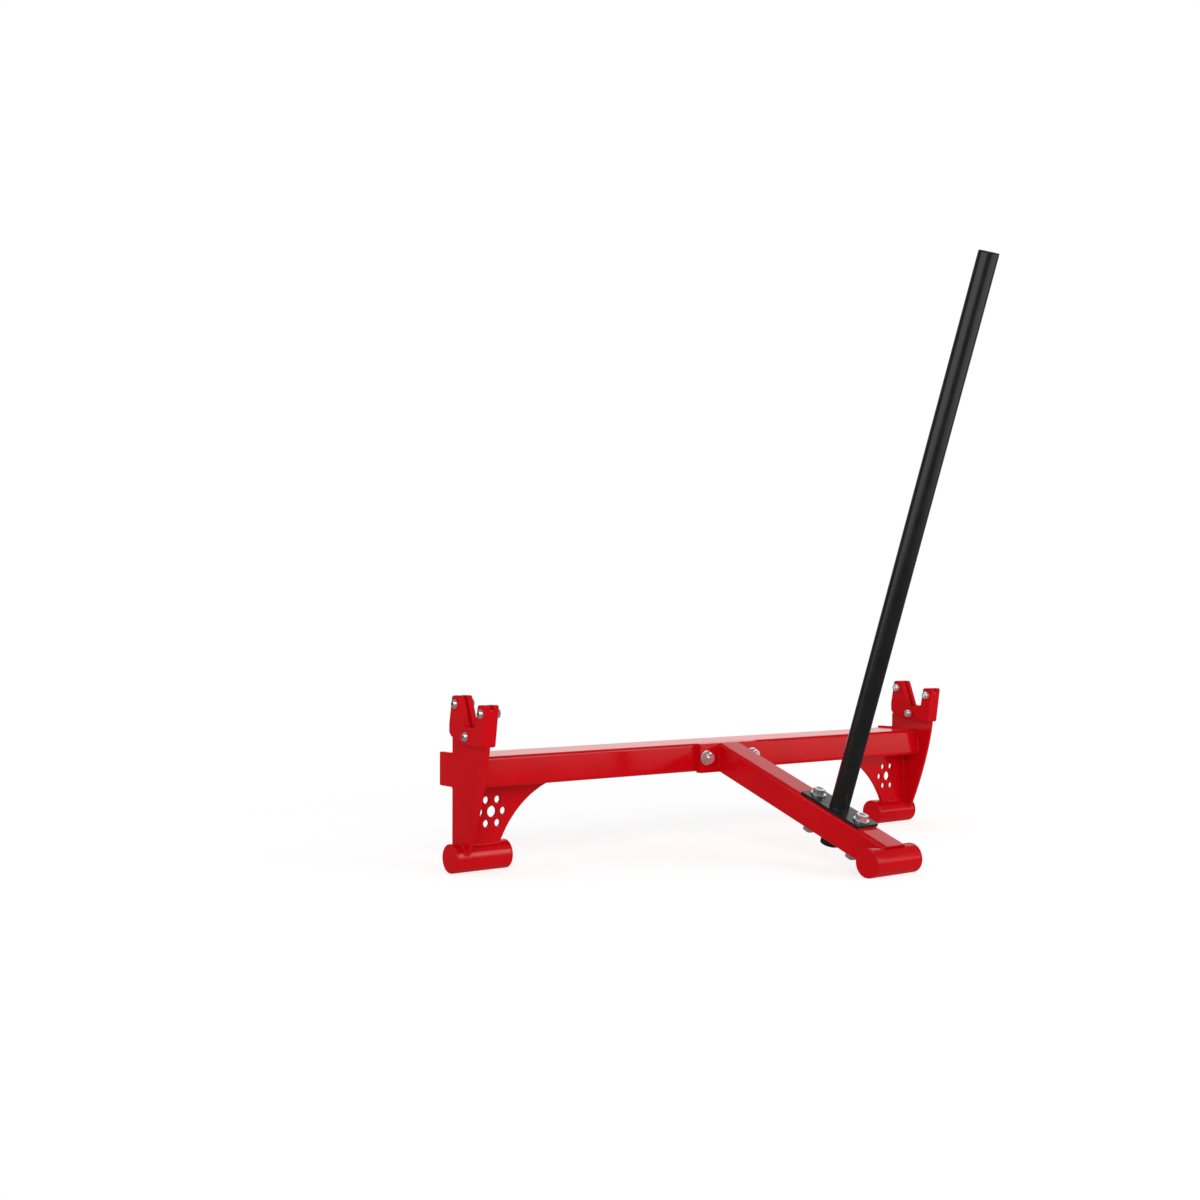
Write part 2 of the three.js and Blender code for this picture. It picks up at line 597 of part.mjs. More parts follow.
// The cap on the handle: a flat disc with a plug that goes down inside the tube
function handleCap() {
  const plug = HANDLE_RADIUS - HANDLE_WALL - SEAT_GAP;
  const cap = lathe([
    [0, -HANDLE_PLUG_LENGTH],
    [plug, -HANDLE_PLUG_LENGTH],
    [plug, 0],
    [HANDLE_RADIUS, 0],
    [HANDLE_RADIUS, HANDLE_CAP_THICKNESS - HANDLE_CAP_CHAMFER],
    [HANDLE_RADIUS - HANDLE_CAP_CHAMFER, HANDLE_CAP_THICKNESS],
    [0, HANDLE_CAP_THICKNESS],
  ], TUBE_STEPS);
  return at(piece("handle_end_cap", cap, blackPlastic), 0, -HANDLE_STATION, HANDLE_RISE + SEAT_GAP);
}

// The leg and all that is bolted on it, sloping down to the front
function legAssembly() {
  const leg = at(new THREE.Group(), 0, FLANGE_FRONT_Y, BEAM_TOP);
  leg.rotation.x = LEG_SLOPE;
  leg.updateMatrix();
  leg.add(centreLeg(leg.matrix.clone().invert()), handleBase(), handleTube(), handleCap());
  Object.entries(baseBolts).forEach(([place, y]) => {
    const set = boltSet(`${place}_base`, LEG_SIZE + SEAT_GAP + BASE_THICKNESS);
    leg.add(at(set, 0, y, SEAT_GAP + BASE_THICKNESS));
  });
  return leg;
}

const leftEnd = beamEnd("left");
leftEnd.scale.x = -1;
const frontFoot = foot("front_foot", FRONT_FOOT_LENGTH, "left", "right");
const jack = groupOf(
  crossbeam(),
  leftEnd,
  beamEnd("right"),
  legFlange(),
  ...flangeBolts(),
  legAssembly(),
  at(frontFoot, 0, FRONT_FOOT_Y, FOOT_RADIUS),
);

// The origin is on the floor under the middle of the jack.
const extent = new THREE.Box3().setFromObject(jack, true);
jack.position.y = -extent.getCenter(new THREE.Vector3()).y;

export default jack;
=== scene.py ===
# %% [markdown]
# # A deadlift jack, dressed in Blender
#
# The jack is a welded lever stand: two lined saddles on a crossbeam, a sloping leg with a round front
# foot, and a long black handle that rocks the whole stand on its round rear feet.
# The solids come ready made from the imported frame, and every one of them already sits in its place.
# This lesson keeps those places and gives each piece the rounded edges, threads, weld beads and
# finishes that a plain solid leaves out.

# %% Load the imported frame
import math

import bmesh
import bpy
from mathutils import Matrix, Vector


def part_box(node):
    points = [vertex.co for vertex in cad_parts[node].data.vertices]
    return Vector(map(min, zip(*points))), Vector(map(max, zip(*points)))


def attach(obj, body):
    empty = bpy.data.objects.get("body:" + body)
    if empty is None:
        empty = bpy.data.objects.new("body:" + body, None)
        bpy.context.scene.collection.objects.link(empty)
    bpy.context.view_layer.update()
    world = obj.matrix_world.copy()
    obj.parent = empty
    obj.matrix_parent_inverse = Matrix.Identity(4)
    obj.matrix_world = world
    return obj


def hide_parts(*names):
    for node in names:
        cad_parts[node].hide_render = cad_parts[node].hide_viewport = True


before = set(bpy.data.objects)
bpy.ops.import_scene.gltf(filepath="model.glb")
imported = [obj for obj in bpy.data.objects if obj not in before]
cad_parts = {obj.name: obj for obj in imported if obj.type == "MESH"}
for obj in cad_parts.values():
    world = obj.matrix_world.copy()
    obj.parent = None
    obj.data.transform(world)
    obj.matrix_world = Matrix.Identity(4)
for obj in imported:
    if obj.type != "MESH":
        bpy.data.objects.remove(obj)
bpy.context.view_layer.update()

# %% [markdown]
# ## Where things are
#
# A piece is measured from the solid that it stands for, so it can't drift from its place.
# Most of the jack is square to the floor, but the leg slopes, and so does all that is bolted on it.
# Those pieces are measured in a frame of their own, which starts at the top front edge of the flange
# and has its Y along the leg and its Z up the handle.

# %% Measure nodes in any frame
MM = 0.001
LEG_SLOPE = math.radians(19.7)

beam_low, beam_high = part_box("crossbeam")
flange_low, flange_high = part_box("leg_flange")
leg_frame = Matrix.Translation((0, flange_low.y, flange_high.z)) @ Matrix.Rotation(LEG_SLOPE, 4, "X")


def box_in(axes, *nodes):
    """Lowest and highest corner of some nodes, seen from a turned frame."""
    inverse = axes.inverted()
    places = [inverse @ vertex.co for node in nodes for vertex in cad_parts[node].data.vertices]
    low = Vector([min(place[axis] for place in places) for axis in range(3)])
    high = Vector([max(place[axis] for place in places) for axis in range(3)])
    return low, high


handle_low, handle_high = box_in(leg_frame, "handle_tube")
handle_length = round(handle_high.z - handle_low.z, 3)
print("the handle is", handle_length, "m long and leans", round(math.degrees(LEG_SLOPE), 1), "degrees")

# %% [markdown]
# ## The camera
#
# The viewpoint was solved from the photograph: a low three-quarter view from the front left, almost
# level, from about two and a half metres away. It is set by plain numbers, so each run has the same.

# %% Set the camera
CAMERA_PLACE = (-1.8586, -1.7892, 0.4055)
CAMERA_PITCH = 0.018
CAMERA_YAW = 0.655
CAMERA_LENS = 44.6175
CAMERA_SENSOR = 36

camera_data = bpy.data.cameras.new("studio_camera")
camera_data.lens = CAMERA_LENS
camera_data.sensor_width = CAMERA_SENSOR
camera = bpy.data.objects.new("studio_camera", camera_data)
camera.location = CAMERA_PLACE
camera.rotation_euler = (math.pi / 2 + CAMERA_PITCH, 0, -CAMERA_YAW)
bpy.context.scene.collection.objects.link(camera)
bpy.context.scene.camera = camera
bpy.context.scene.view_settings.view_transform = "Standard"
to_the_leg = camera.location - leg_frame.translation
print("camera is", round(to_the_leg.length, 2), "m from the top of the leg")

# %% [markdown]
# ## Node wiring
#
# Materials are built from a few nodes each. One small helper adds a node, sets its values and joins
# its inputs, so that a finish reads as a short list of what feeds what. Three more give straight away
# what a Math node, a Mix node and a Map Range node put out.

# %% Helpers that add and join nodes
def add_node(tree, kind, settings=None, **inputs):
    """Adds a shader node. Underscores stand for spaces in socket names, and i0, i1 for socket numbers."""
    node = tree.nodes.new("ShaderNode" + kind)
    for key, value in (settings or {}).items():
        setattr(node, key, value)
    for key, value in inputs.items():
        numbered = key[0] == "i" and key[1:].isdigit()
        socket = node.inputs[int(key[1:])] if numbered else node.inputs[key.replace("_", " ")]
        if isinstance(value, bpy.types.NodeSocket):
            tree.links.new(value, socket)
        else:
            socket.default_value = value
    return node


def reckon(tree, operation, *values):
    """What a Math node makes of its values."""
    inputs = {f"i{number}": value for number, value in enumerate(values)}
    return add_node(tree, "Math", {"operation": operation}, **inputs).outputs[0]


def between(tree, share, low, high):
    """A value between two others."""
    return add_node(tree, "Mix", {"data_type": "FLOAT"}, Factor=share, A=low, B=high).outputs[0]


def fades(tree, value, near, far, brightness=1.0):
    """Rises softly from 0 to a brightness, as a value goes from near to far."""
    ends = {"From_Min": near, "From_Max": far, "To_Min": 0.0, "To_Max": brightness}
    return add_node(tree, "MapRange", {"interpolation_type": "SMOOTHSTEP"}, Value=value, **ends).outputs[0]


# %% [markdown]
# ## Studio light
#
# A glossy coat shows what is around it, so the world has three soft windows that only mirrored rays
# see. Level faces mirror one behind on the right, and the handle carries a streak of one on the left and
# a dimmer streak of a low one in front on the right.

# %% Aim the windows
WINDOWS = (
    # azimuth, elevation, full within, gone beyond (degrees), brightness
    (40, 12, 15, 39, 0.9),
    (173, 0, 30, 38, 1.15),
    (-64, -18, 34, 40, 0.86),
)


def aim_of(azimuth, elevation):
    """The direction of an azimuth, counted from +X towards +Y, and an elevation, in degrees."""
    turn, rise = math.radians(azimuth), math.radians(elevation)
    return Vector((math.cos(turn) * math.cos(rise), math.sin(turn) * math.cos(rise), math.sin(rise)))


for azimuth, elevation, *_ in WINDOWS:
    print("a window towards", [round(part, 2) for part in aim_of(azimuth, elevation)])

# %% [markdown]
# All the rest is dark to mirrored rays. The light on the pieces comes mostly from the sides and little
# from above, and the camera sees plain white.

# %% Build the world
ROOM_SIDE_LIGHT = 1.12
ROOM_TOP_LIGHT = 0.12
ROOM_MIRRORED = 0.1
WHITE = (1, 1, 1, 1)

world = bpy.data.worlds.new("white_room")
world.use_nodes = True
bpy.context.scene.world = world
tree = world.node_tree
tree.nodes.clear()
direction = add_node(tree, "TexCoord").outputs["Generated"]
mirrored = ROOM_MIRRORED
for azimuth, elevation, full, gone, brightness in WINDOWS:
    middle = aim_of(azimuth, elevation)
    nearness = add_node(tree, "VectorMath", {"operation": "DOT_PRODUCT"}, i0=direction, i1=middle)
    far, near = math.cos(math.radians(gone)), math.cos(math.radians(full))
    window = fades(tree, nearness.outputs["Value"], far, near, brightness)
    mirrored = reckon(tree, "ADD", window, mirrored)
height = add_node(tree, "SeparateXYZ", Vector=direction).outputs["Z"]
levels = {"From_Min": 0.0, "From_Max": 1.0, "To_Min": ROOM_SIDE_LIGHT, "To_Max": ROOM_TOP_LIGHT}
even = add_node(tree, "MapRange", Value=height, **levels).outputs[0]
rays = add_node(tree, "LightPath").outputs
mirror_rays = reckon(tree, "MAXIMUM", rays["Is Glossy Ray"], rays["Is Transmission Ray"])
unseen = between(tree, mirror_rays, even, mirrored)
strength = between(tree, rays["Is Camera Ray"], unseen, 1.0)
room = add_node(tree, "Background", Color=WHITE, Strength=strength)
tree.links.new(room.outputs[0], add_node(tree, "OutputWorld").inputs["Surface"])
print("world nodes:", len(tree.nodes))

# %% [markdown]
# Three large area lamps shape the light a little: a broad one in front on the left, a weaker one in
# front on the right, and a faint one overhead. Large lamps give soft shadows.

# %% Hang the lamps
LAMP_AIM = (0, 0, 0.2)


def hang_lamp(name, place, width, height, power):
    """A rectangular lamp that faces a point low in the middle of the jack."""
    lamp = bpy.data.lights.new(name, "AREA")
    lamp.shape = "RECTANGLE"
    lamp.size, lamp.size_y, lamp.energy = width, height, power
    holder = bpy.data.objects.new(name, lamp)
    holder.location = place
    holder.rotation_euler = (Vector(LAMP_AIM) - Vector(place)).to_track_quat("-Z", "Y").to_euler()
    bpy.context.scene.collection.objects.link(holder)


hang_lamp("broad_front_lamp", place=(-2.6, -2.6, 2.0), width=2.6, height=1.6, power=49)
hang_lamp("right_front_lamp", place=(1.8, -2.9, 1.6), width=2.0, height=1.6, power=26)
hang_lamp("overhead_lamp", place=(0.2, 0.8, 3.2), width=3.0, height=2.0, power=3)

# %% [markdown]
# The floor is a plain pale disc, far wider than the picture, and it isn't part of the jack.

# %% Lay the floor
FLOOR_SIZE = 24
FLOOR_STEPS = 96

floor_mesh = bmesh.new()
bmesh.ops.create_circle(floor_mesh, cap_ends=True, segments=FLOOR_STEPS, radius=FLOOR_SIZE)
floor_data = bpy.data.meshes.new("studio_floor")
floor_mesh.to_mesh(floor_data)
floor_mesh.free()
floor = bpy.data.objects.new("studio_floor", floor_data)
bpy.context.scene.collection.objects.link(floor)
print("floor:", FLOOR_SIZE, "m in radius")

# %% [markdown]
# Near the jack the floor is an ordinary matt surface that takes its shadow, lifted by a weak glow. The
# camera sees it turn to clean white further out, so no horizon cuts the picture. Light that bounces off
# it meets a weaker glow. To mirrored rays it is dark under and behind the jack, and open to the windows
# of the world further out.

# %% Finish the floor
FLOOR_GREY = (0.5, 0.5, 0.5, 1)
FLOOR_LIFT = 0.7
FLOOR_BOUNCE = 0.4
FLOOR_MIRRORED = 0.1
WHITE_FROM, WHITE_BEYOND = 0.7, 1.9
DARK_CENTRE = (-0.4, 1.4, 0)
DARK_WITHIN, OPEN_BEYOND = 2.45, 3.8

floor_finish = bpy.data.materials.new("pale_floor")
floor_finish.use_nodes = True
tree = floor_finish.node_tree
tree.nodes.clear()
place = add_node(tree, "TexCoord").outputs["Object"]
distance = add_node(tree, "VectorMath", {"operation": "LENGTH"}, i0=place).outputs["Value"]
from_dark = add_node(tree, "VectorMath", {"operation": "DISTANCE"}, i0=place, i1=DARK_CENTRE)
rays = add_node(tree, "LightPath").outputs
lift = between(tree, rays["Is Camera Ray"], FLOOR_BOUNCE, FLOOR_LIFT)
matt = add_node(tree, "BsdfDiffuse", Color=FLOOR_GREY).outputs[0]
glow = add_node(tree, "Emission", Color=WHITE, Strength=lift).outputs[0]
near_floor = add_node(tree, "AddShader", i0=matt, i1=glow).outputs[0]
white_floor = add_node(tree, "Emission", Color=WHITE, Strength=1.0).outputs[0]
far_out = fades(tree, distance, WHITE_FROM, WHITE_BEYOND)
white_share = reckon(tree, "MULTIPLY", far_out, rays["Is Camera Ray"])
seen_floor = add_node(tree, "MixShader", i0=white_share, i1=near_floor, i2=white_floor).outputs[0]
dark_floor = add_node(tree, "Emission", Color=WHITE, Strength=FLOOR_MIRRORED).outputs[0]
open_floor = add_node(tree, "BsdfTransparent", Color=WHITE).outputs[0]
open_share = fades(tree, from_dark.outputs["Value"], DARK_WITHIN, OPEN_BEYOND)
mirrored_floor = add_node(tree, "MixShader", i0=open_share, i1=dark_floor, i2=open_floor).outputs[0]
whole_floor = add_node(tree, "MixShader", i0=rays["Is Glossy Ray"], i1=seen_floor, i2=mirrored_floor)
tree.links.new(whole_floor.outputs[0], add_node(tree, "OutputMaterial").inputs["Surface"])
floor_data.materials.append(floor_finish)
print("floor nodes:", len(tree.nodes))

# %% [markdown]
# ## Shared effects
#
# Each effect is a node group with named inputs and outputs, built once, so that every finish can place
# it with values of its own. *Orange peel* is the faint waviness of a baked coat. *Speckle* is fine grain,
# for textured coats, plastic and plated metal.

# %% Build the orange peel and the speckle
def new_group(name, inputs, outputs):
    """An empty shader group. Inputs are (name, default) pairs, outputs are names."""
    group = bpy.data.node_groups.new(name, "ShaderNodeTree")
    for label, value in inputs:
        socket = group.interface.new_socket(label, in_out="INPUT", socket_type="NodeSocketFloat")
        socket.default_value = value
    for label in outputs:
        group.interface.new_socket(label, in_out="OUTPUT", socket_type="NodeSocketFloat")
    start = group.nodes.new("NodeGroupInput")
    end = group.nodes.new("NodeGroupOutput")
    return group, start.outputs, end.inputs


peel, given, wanted = new_group("orange_peel", [("Scale", 300.0)], ["Height", "Cloud"])
place = add_node(peel, "TexCoord").outputs["Object"]
waves = add_node(peel, "TexNoise", Vector=place, Scale=given["Scale"], Detail=1.0, Roughness=0.4)
cloud = add_node(peel, "TexNoise", Vector=place, Scale=9.0, Detail=3.0, Roughness=0.55)
peel.links.new(waves.outputs["Fac"], wanted["Height"])
peel.links.new(cloud.outputs["Fac"], wanted["Cloud"])

speckle, given, wanted = new_group("speckle", [("Scale", 1500.0)], ["Height", "Patches"])
place = add_node(speckle, "TexCoord").outputs["Object"]
grains = add_node(speckle, "TexNoise", Vector=place, Scale=given["Scale"], Detail=2.0, Roughness=0.6)
patches = add_node(speckle, "TexNoise", Vector=place, Scale=22.0, Detail=4.0, Roughness=0.6)
speckle.links.new(grains.outputs["Fac"], wanted["Height"])
speckle.links.new(patches.outputs["Fac"], wanted["Patches"])
print("groups:", [group.name for group in bpy.data.node_groups])

# %% [markdown]
# *Edge rub* reads an attribute that the rounded edges carry, and breaks it up with noise, so that wear
# sits on the edges in patches.

# %% Build the edge rub
rub, given, wanted = new_group("edge_rub", [("Amount", 0.5)], ["Mask"])
place = add_node(rub, "TexCoord").outputs["Object"]
edge = add_node(rub, "Attribute", {"attribute_name": "rounded"})
scuffs = add_node(rub, "TexNoise", Vector=place, Scale=160.0, Detail=5.0, Roughness=0.65)
broken = add_node(rub, "MapRange", Value=scuffs.outputs["Fac"], From_Min=0.42, From_Max=0.62).outputs[0]
along_edge = reckon(rub, "MULTIPLY", edge.outputs["Fac"], broken)
rub.links.new(reckon(rub, "MULTIPLY", along_edge, given["Amount"]), wanted["Mask"])
print(rub.name, "has", len(rub.nodes), "nodes")

# %% [markdown]
# ## Finishes
#
# The frame is powder coated in a deep, glossy red, and the saddle liners are plastic dyed the same red
# but a little duller. The handle and its base plate have a satin black coat with a fine grain, the
# handle's cap is matt moulded plastic, and the fasteners are bright zinc. Each finish is a Principled
# shader: its plain numbers are set on the shader itself, and only what changes over the surface is wired.

# %% A base for every finish
def new_finish(name, **plain):
    """A material, its node tree and its Principled shader, whose plain values are set."""
    material = bpy.data.materials.new(name)
    material.use_nodes = True
    tree = material.node_tree
    tree.nodes.clear()
    shader = add_node(tree, "BsdfPrincipled", **plain)
    tree.links.new(shader.outputs[0], add_node(tree, "OutputMaterial").inputs["Surface"])
    return material, tree, shader


def use_group(tree, group, **inputs):
    """Places a shared group in a material."""
    return add_node(tree, "Group", {"node_tree": group}, **inputs).outputs


# %% [markdown]
# A noise lies mostly in the middle of its range, so its middle is spread over what a finish needs.

# %% Blend colours, spread noises and ripple the surface
NOISE_LOW, NOISE_HIGH = 0.3, 0.7


def blend_colours(tree, share, low, high):
    """A colour between two others."""
    node = add_node(tree, "Mix", {"data_type": "RGBA"})
    tree.links.new(share, node.inputs[0])
    for socket, colour in ((node.inputs[6], low), (node.inputs[7], high)):
        if isinstance(colour, bpy.types.NodeSocket):
            tree.links.new(colour, socket)
        else:
            socket.default_value = colour
    return node.outputs[2]


def spread(tree, value, low, high):
    """Maps the middle of a noise onto a narrow range."""
    ends = {"From_Min": NOISE_LOW, "From_Max": NOISE_HIGH, "To_Min": low, "To_Max": high}
    return add_node(tree, "MapRange", Value=value, **ends).outputs[0]


def ripple(tree, shader, height, strength, depth):
    """Makes a height bump the surface of a shader."""
    bump = add_node(tree, "Bump", Height=height, Strength=strength, Distance=depth)
    tree.links.new(bump.outputs[0], shader.inputs["Normal"])


# %% [markdown]
# Red powder coat: the colour hardly changes over the surface, its gloss drifts a little, and the coat
# draws thin on rounded edges, where it turns slightly darker and duller.

# %% Red powder coat
RED_DEEP = (0.50, 0.0008, 0.0040, 1)
RED_FULL = (0.62, 0.0014, 0.0058, 1)
RED_THIN = (0.40, 0.0030, 0.0060, 1)
RED_SHEEN = (1, 0.01, 0.02, 1)
WEAR_DULLS = 0.15

red_coat, tree, shader = new_finish(
    "red_powder_coat", IOR=1.4, Sheen_Weight=0.45, Sheen_Roughness=0.35, Sheen_Tint=RED_SHEEN,
)
wavy = use_group(tree, peel, Scale=260.0)
worn = use_group(tree, rub, Amount=0.5)
red = blend_colours(tree, spread(tree, wavy["Cloud"], low=0.35, high=1.0), RED_DEEP, RED_FULL)
tree.links.new(blend_colours(tree, worn["Mask"], red, RED_THIN), shader.inputs["Base Color"])
gloss = spread(tree, wavy["Cloud"], low=0.10, high=0.15)
tree.links.new(reckon(tree, "MULTIPLY_ADD", worn["Mask"], WEAR_DULLS, gloss), shader.inputs["Roughness"])
ripple(tree, shader, wavy["Height"], strength=0.35, depth=0.08 * MM)
print(red_coat.name, "has", len(tree.nodes), "nodes")

# %% [markdown]
# Red plastic: cut from thick sheet, so it has a fine machined grain and a softer shine.

# %% Red plastic
PLASTIC_WORN = (0.66, 0.02, 0.02, 1)

red_plastic, tree, shader = new_finish("red_liner_plastic", IOR=1.15)
grainy = use_group(tree, speckle, Scale=900.0)
worn = use_group(tree, rub, Amount=0.35)
red = blend_colours(tree, spread(tree, grainy["Patches"], low=0.4, high=1.0), RED_DEEP, RED_FULL)
tree.links.new(blend_colours(tree, worn["Mask"], red, PLASTIC_WORN), shader.inputs["Base Color"])
tree.links.new(spread(tree, grainy["Patches"], low=0.34, high=0.46), shader.inputs["Roughness"])
ripple(tree, shader, grainy["Height"], strength=0.25, depth=0.05 * MM)
print(red_plastic.name, "has", len(tree.nodes), "nodes")

# %% [markdown]
# Satin black coat: nearly black, with a grain finer than a millimetre that spreads its highlights.

# %% Satin black coat
BLACK_DEEP = (0.006, 0.006, 0.0065, 1)
BLACK_PALE = (0.010, 0.010, 0.0105, 1)
BLACK_WORN = (0.06, 0.06, 0.06, 1)

black_coat, tree, shader = new_finish("satin_black_coat", IOR=1.55)
grainy = use_group(tree, speckle, Scale=1400.0)
worn = use_group(tree, rub, Amount=0.5)
black = blend_colours(tree, spread(tree, grainy["Patches"], low=0.0, high=1.0), BLACK_DEEP, BLACK_PALE)
tree.links.new(blend_colours(tree, worn["Mask"], black, BLACK_WORN), shader.inputs["Base Color"])
tree.links.new(spread(tree, grainy["Patches"], low=0.22, high=0.30), shader.inputs["Roughness"])
ripple(tree, shader, grainy["Height"], strength=0.4, depth=0.08 * MM)
print(black_coat.name, "has", len(tree.nodes), "nodes")

# %% [markdown]
# Black plastic: the handle's cap, moulded and matt, with a coarser grain than the coat beside it.

# %% Black plastic
CAP_DEEP = (0.008, 0.008, 0.0085, 1)
CAP_PALE = (0.016, 0.016, 0.0165, 1)

black_plastic, tree, shader = new_finish("black_cap_plastic", IOR=1.46)
grainy = use_group(tree, speckle, Scale=900.0)
tree.links.new(blend_colours(tree, grainy["Patches"], CAP_DEEP, CAP_PALE), shader.inputs["Base Color"])
tree.links.new(spread(tree, grainy["Patches"], low=0.45, high=0.60), shader.inputs["Roughness"])
ripple(tree, shader, grainy["Height"], strength=0.5, depth=0.1 * MM)
print(black_plastic.name, "has", len(tree.nodes), "nodes")

# %% [markdown]
# Zinc plate: a thin bright metal, faintly blue in places and warmer in others, that is never quite even.
# It isn't fully metallic, since its milky passivated film scatters some light by itself. The attribute
# *hollow*, which the small bolts carry, paints shade into the depth of their sockets: there the colour
# turns near black, in place of the light that hardly gets down there.

# %% Bright zinc
ZINC_COOL = (0.74, 0.76, 0.79, 1)
ZINC_WARM = (0.88, 0.87, 0.85, 1)
# Painted shade: the near black that the depth of each socket takes in place of the zinc colour.
ZINC_SOCKET_SHADE = (0.03, 0.03, 0.03, 1)

zinc, tree, shader = new_finish("bright_zinc", Metallic=0.82, IOR=1.5)
grainy = use_group(tree, speckle, Scale=700.0)
silver = blend_colours(tree, spread(tree, grainy["Patches"], low=0.0, high=1.0), ZINC_COOL, ZINC_WARM)
hollow = add_node(tree, "Attribute", {"attribute_name": "hollow"}).outputs["Fac"]
# The hollow mask paints shade into the sockets.
tree.links.new(blend_colours(tree, hollow, silver, ZINC_SOCKET_SHADE), shader.inputs["Base Color"])
tree.links.new(spread(tree, grainy["Patches"], low=0.08, high=0.18), shader.inputs["Roughness"])
ripple(tree, shader, grainy["Height"], strength=0.15, depth=0.03 * MM)
print(zinc.name, "has", len(tree.nodes), "nodes")

# %% [markdown]
# The names of the finishes are those of the part's own material slots.

# %% List the finishes
FINISHES = {
    "red_coat": red_coat,
    "red_plastic": red_plastic,
    "black_coat": black_coat,
    "black_plastic": black_plastic,
    "zinc": zinc,
}
print("finishes:", sorted(FINISHES))

# %% [markdown]
# ## Shaping tools
#
# Steel parts never end in knife edges: cut plates are deburred and tubes have rolled corners, and those
# small roundings catch the light. So one tool rounds every edge that turns sharply, and marks the
# middle of each rounding with the attribute that the edge rub reads.

# %% Round the edges
SMOOTH_BELOW = math.radians(35)
ROUNDING_STEPS = 2


def turns_sharply(edge):
    return len(edge.link_faces) == 2 and edge.calc_face_angle() > SMOOTH_BELOW


def round_edges(shape, radius, keep=None):
    """Bevels every sharp edge of a bmesh, except those to keep, and marks the ridge of each bevel."""
    sharp = [edge for edge in shape.edges if turns_sharply(edge) and not (keep and keep(edge))]
    corners = list({vertex for edge in sharp for vertex in edge.verts})
    made = bmesh.ops.bevel(
        shape, geom=sharp + corners, offset=radius, offset_type="OFFSET", segments=ROUNDING_STEPS,
        profile=0.5, affect="EDGES", material=-1, clamp_overlap=True,
    )
    ridge = shape.verts.layers.float.get("rounded") or shape.verts.layers.float.new("rounded")
    rounded = set(made["faces"])
    for vertex in made["verts"]:
        if vertex.is_valid and all(face in rounded for face in vertex.link_faces):
            vertex[ridge] = 1.0
    return shape


cube = bmesh.new()
bmesh.ops.create_cube(cube, size=1)
print("a cube with rounded edges has", len(round_edges(cube, radius=0.1).faces), "faces")
cube.free()

# %% [markdown]
# Another tool turns a bmesh into a finished piece that rides with the jack and stands for its solids.

# %% Finish a piece
def dress(name, shape, slot, *nodes):
    """Makes a finished piece of a bmesh, with soft shading, and puts it in the place of its solids."""
    for face in shape.faces:
        face.smooth = True
    for edge in shape.edges:
        edge.smooth = not turns_sharply(edge)
    mesh = bpy.data.meshes.new(name)
    shape.to_mesh(mesh)
    shape.free()
    mesh.materials.append(FINISHES[slot])
    obj = bpy.data.objects.new(name, mesh)
    bpy.context.scene.collection.objects.link(obj)
    evener = obj.modifiers.new("even_shading", "WEIGHTED_NORMAL")
    evener.keep_sharp = True
    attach(obj, "root")
    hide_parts(*nodes)
    return obj


# %% [markdown]
# Flat plates with holes and notches are right as they come, but as loose triangles. A copy is merged
# into one skin, its flat triangles are dissolved into whole faces, and then its edges can be rounded.

# %% Copy a solid as one clean skin
MERGE_DISTANCE = 0.005 * MM
FLAT_WITHIN = math.radians(0.3)


def skin_of(node):
    """A merged copy of a solid, with whole flat faces."""
    shape = bmesh.new()
    shape.from_mesh(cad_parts[node].data)
    bmesh.ops.remove_doubles(shape, verts=shape.verts, dist=MERGE_DISTANCE)
    bmesh.ops.dissolve_limit(
        shape, angle_limit=FLAT_WITHIN, verts=shape.verts, edges=shape.edges,
        use_dissolve_boundaries=False, delimit=set(),
    )
    return shape


loose = len(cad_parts["left_end_plate"].data.polygons)
sample = skin_of("left_end_plate")
print("the left end plate's", loose, "triangles become", len(sample.faces), "faces")
sample.free()

# %% [markdown]
# Round pieces are turned: a profile of radius and height is spun once round the Z axis. Profiles that
# touch the axis close by themselves, and rings are closed by joining their last point to the first.

# %% Turn a profile
ROUND_STEPS = 72


def turned(profile, steps=ROUND_STEPS, ring=False):
    """A turned solid about Z from (radius, height) points, in metres."""
    shape = bmesh.new()
    corners = [shape.verts.new((radius, 0, height)) for radius, height in profile]
    followers = corners[1:] + corners[:1] if ring else corners[1:]
    sides = [shape.edges.new(pair) for pair in zip(corners, followers)]
    bmesh.ops.spin(
        shape, geom=corners + sides, cent=(0, 0, 0), axis=(0, 0, 1), angle=2 * math.pi,
        steps=steps, use_merge=True, use_duplicate=False,
    )
    bmesh.ops.remove_doubles(shape, verts=shape.verts, dist=MERGE_DISTANCE)
    bmesh.ops.recalc_face_normals(shape, faces=shape.faces)
    return shape


def placed(shape, matrix):
    """Moves a whole bmesh into its place."""
    bmesh.ops.transform(shape, matrix=matrix, verts=shape.verts)
    return shape


ALONG_X = Matrix.Rotation(math.pi / 2, 4, "Y")

cone = placed(turned([(0, 0), (1, 0), (0, 1)]), ALONG_X)
print("a turned cone has", len(cone.faces), "faces")
cone.free()

# %% [markdown]
# Holes, copes and sockets are cut with the Boolean modifier, whose exact solver takes closed shapes.
# Its result is read back into a bmesh, and the helper objects are removed again.

# %% Cut one shape with others
def as_object(name, shape):
    mesh = bpy.data.meshes.new(name)
    shape.to_mesh(mesh)
    shape.free()
    obj = bpy.data.objects.new(name, mesh)
    bpy.context.scene.collection.objects.link(obj)
    return obj


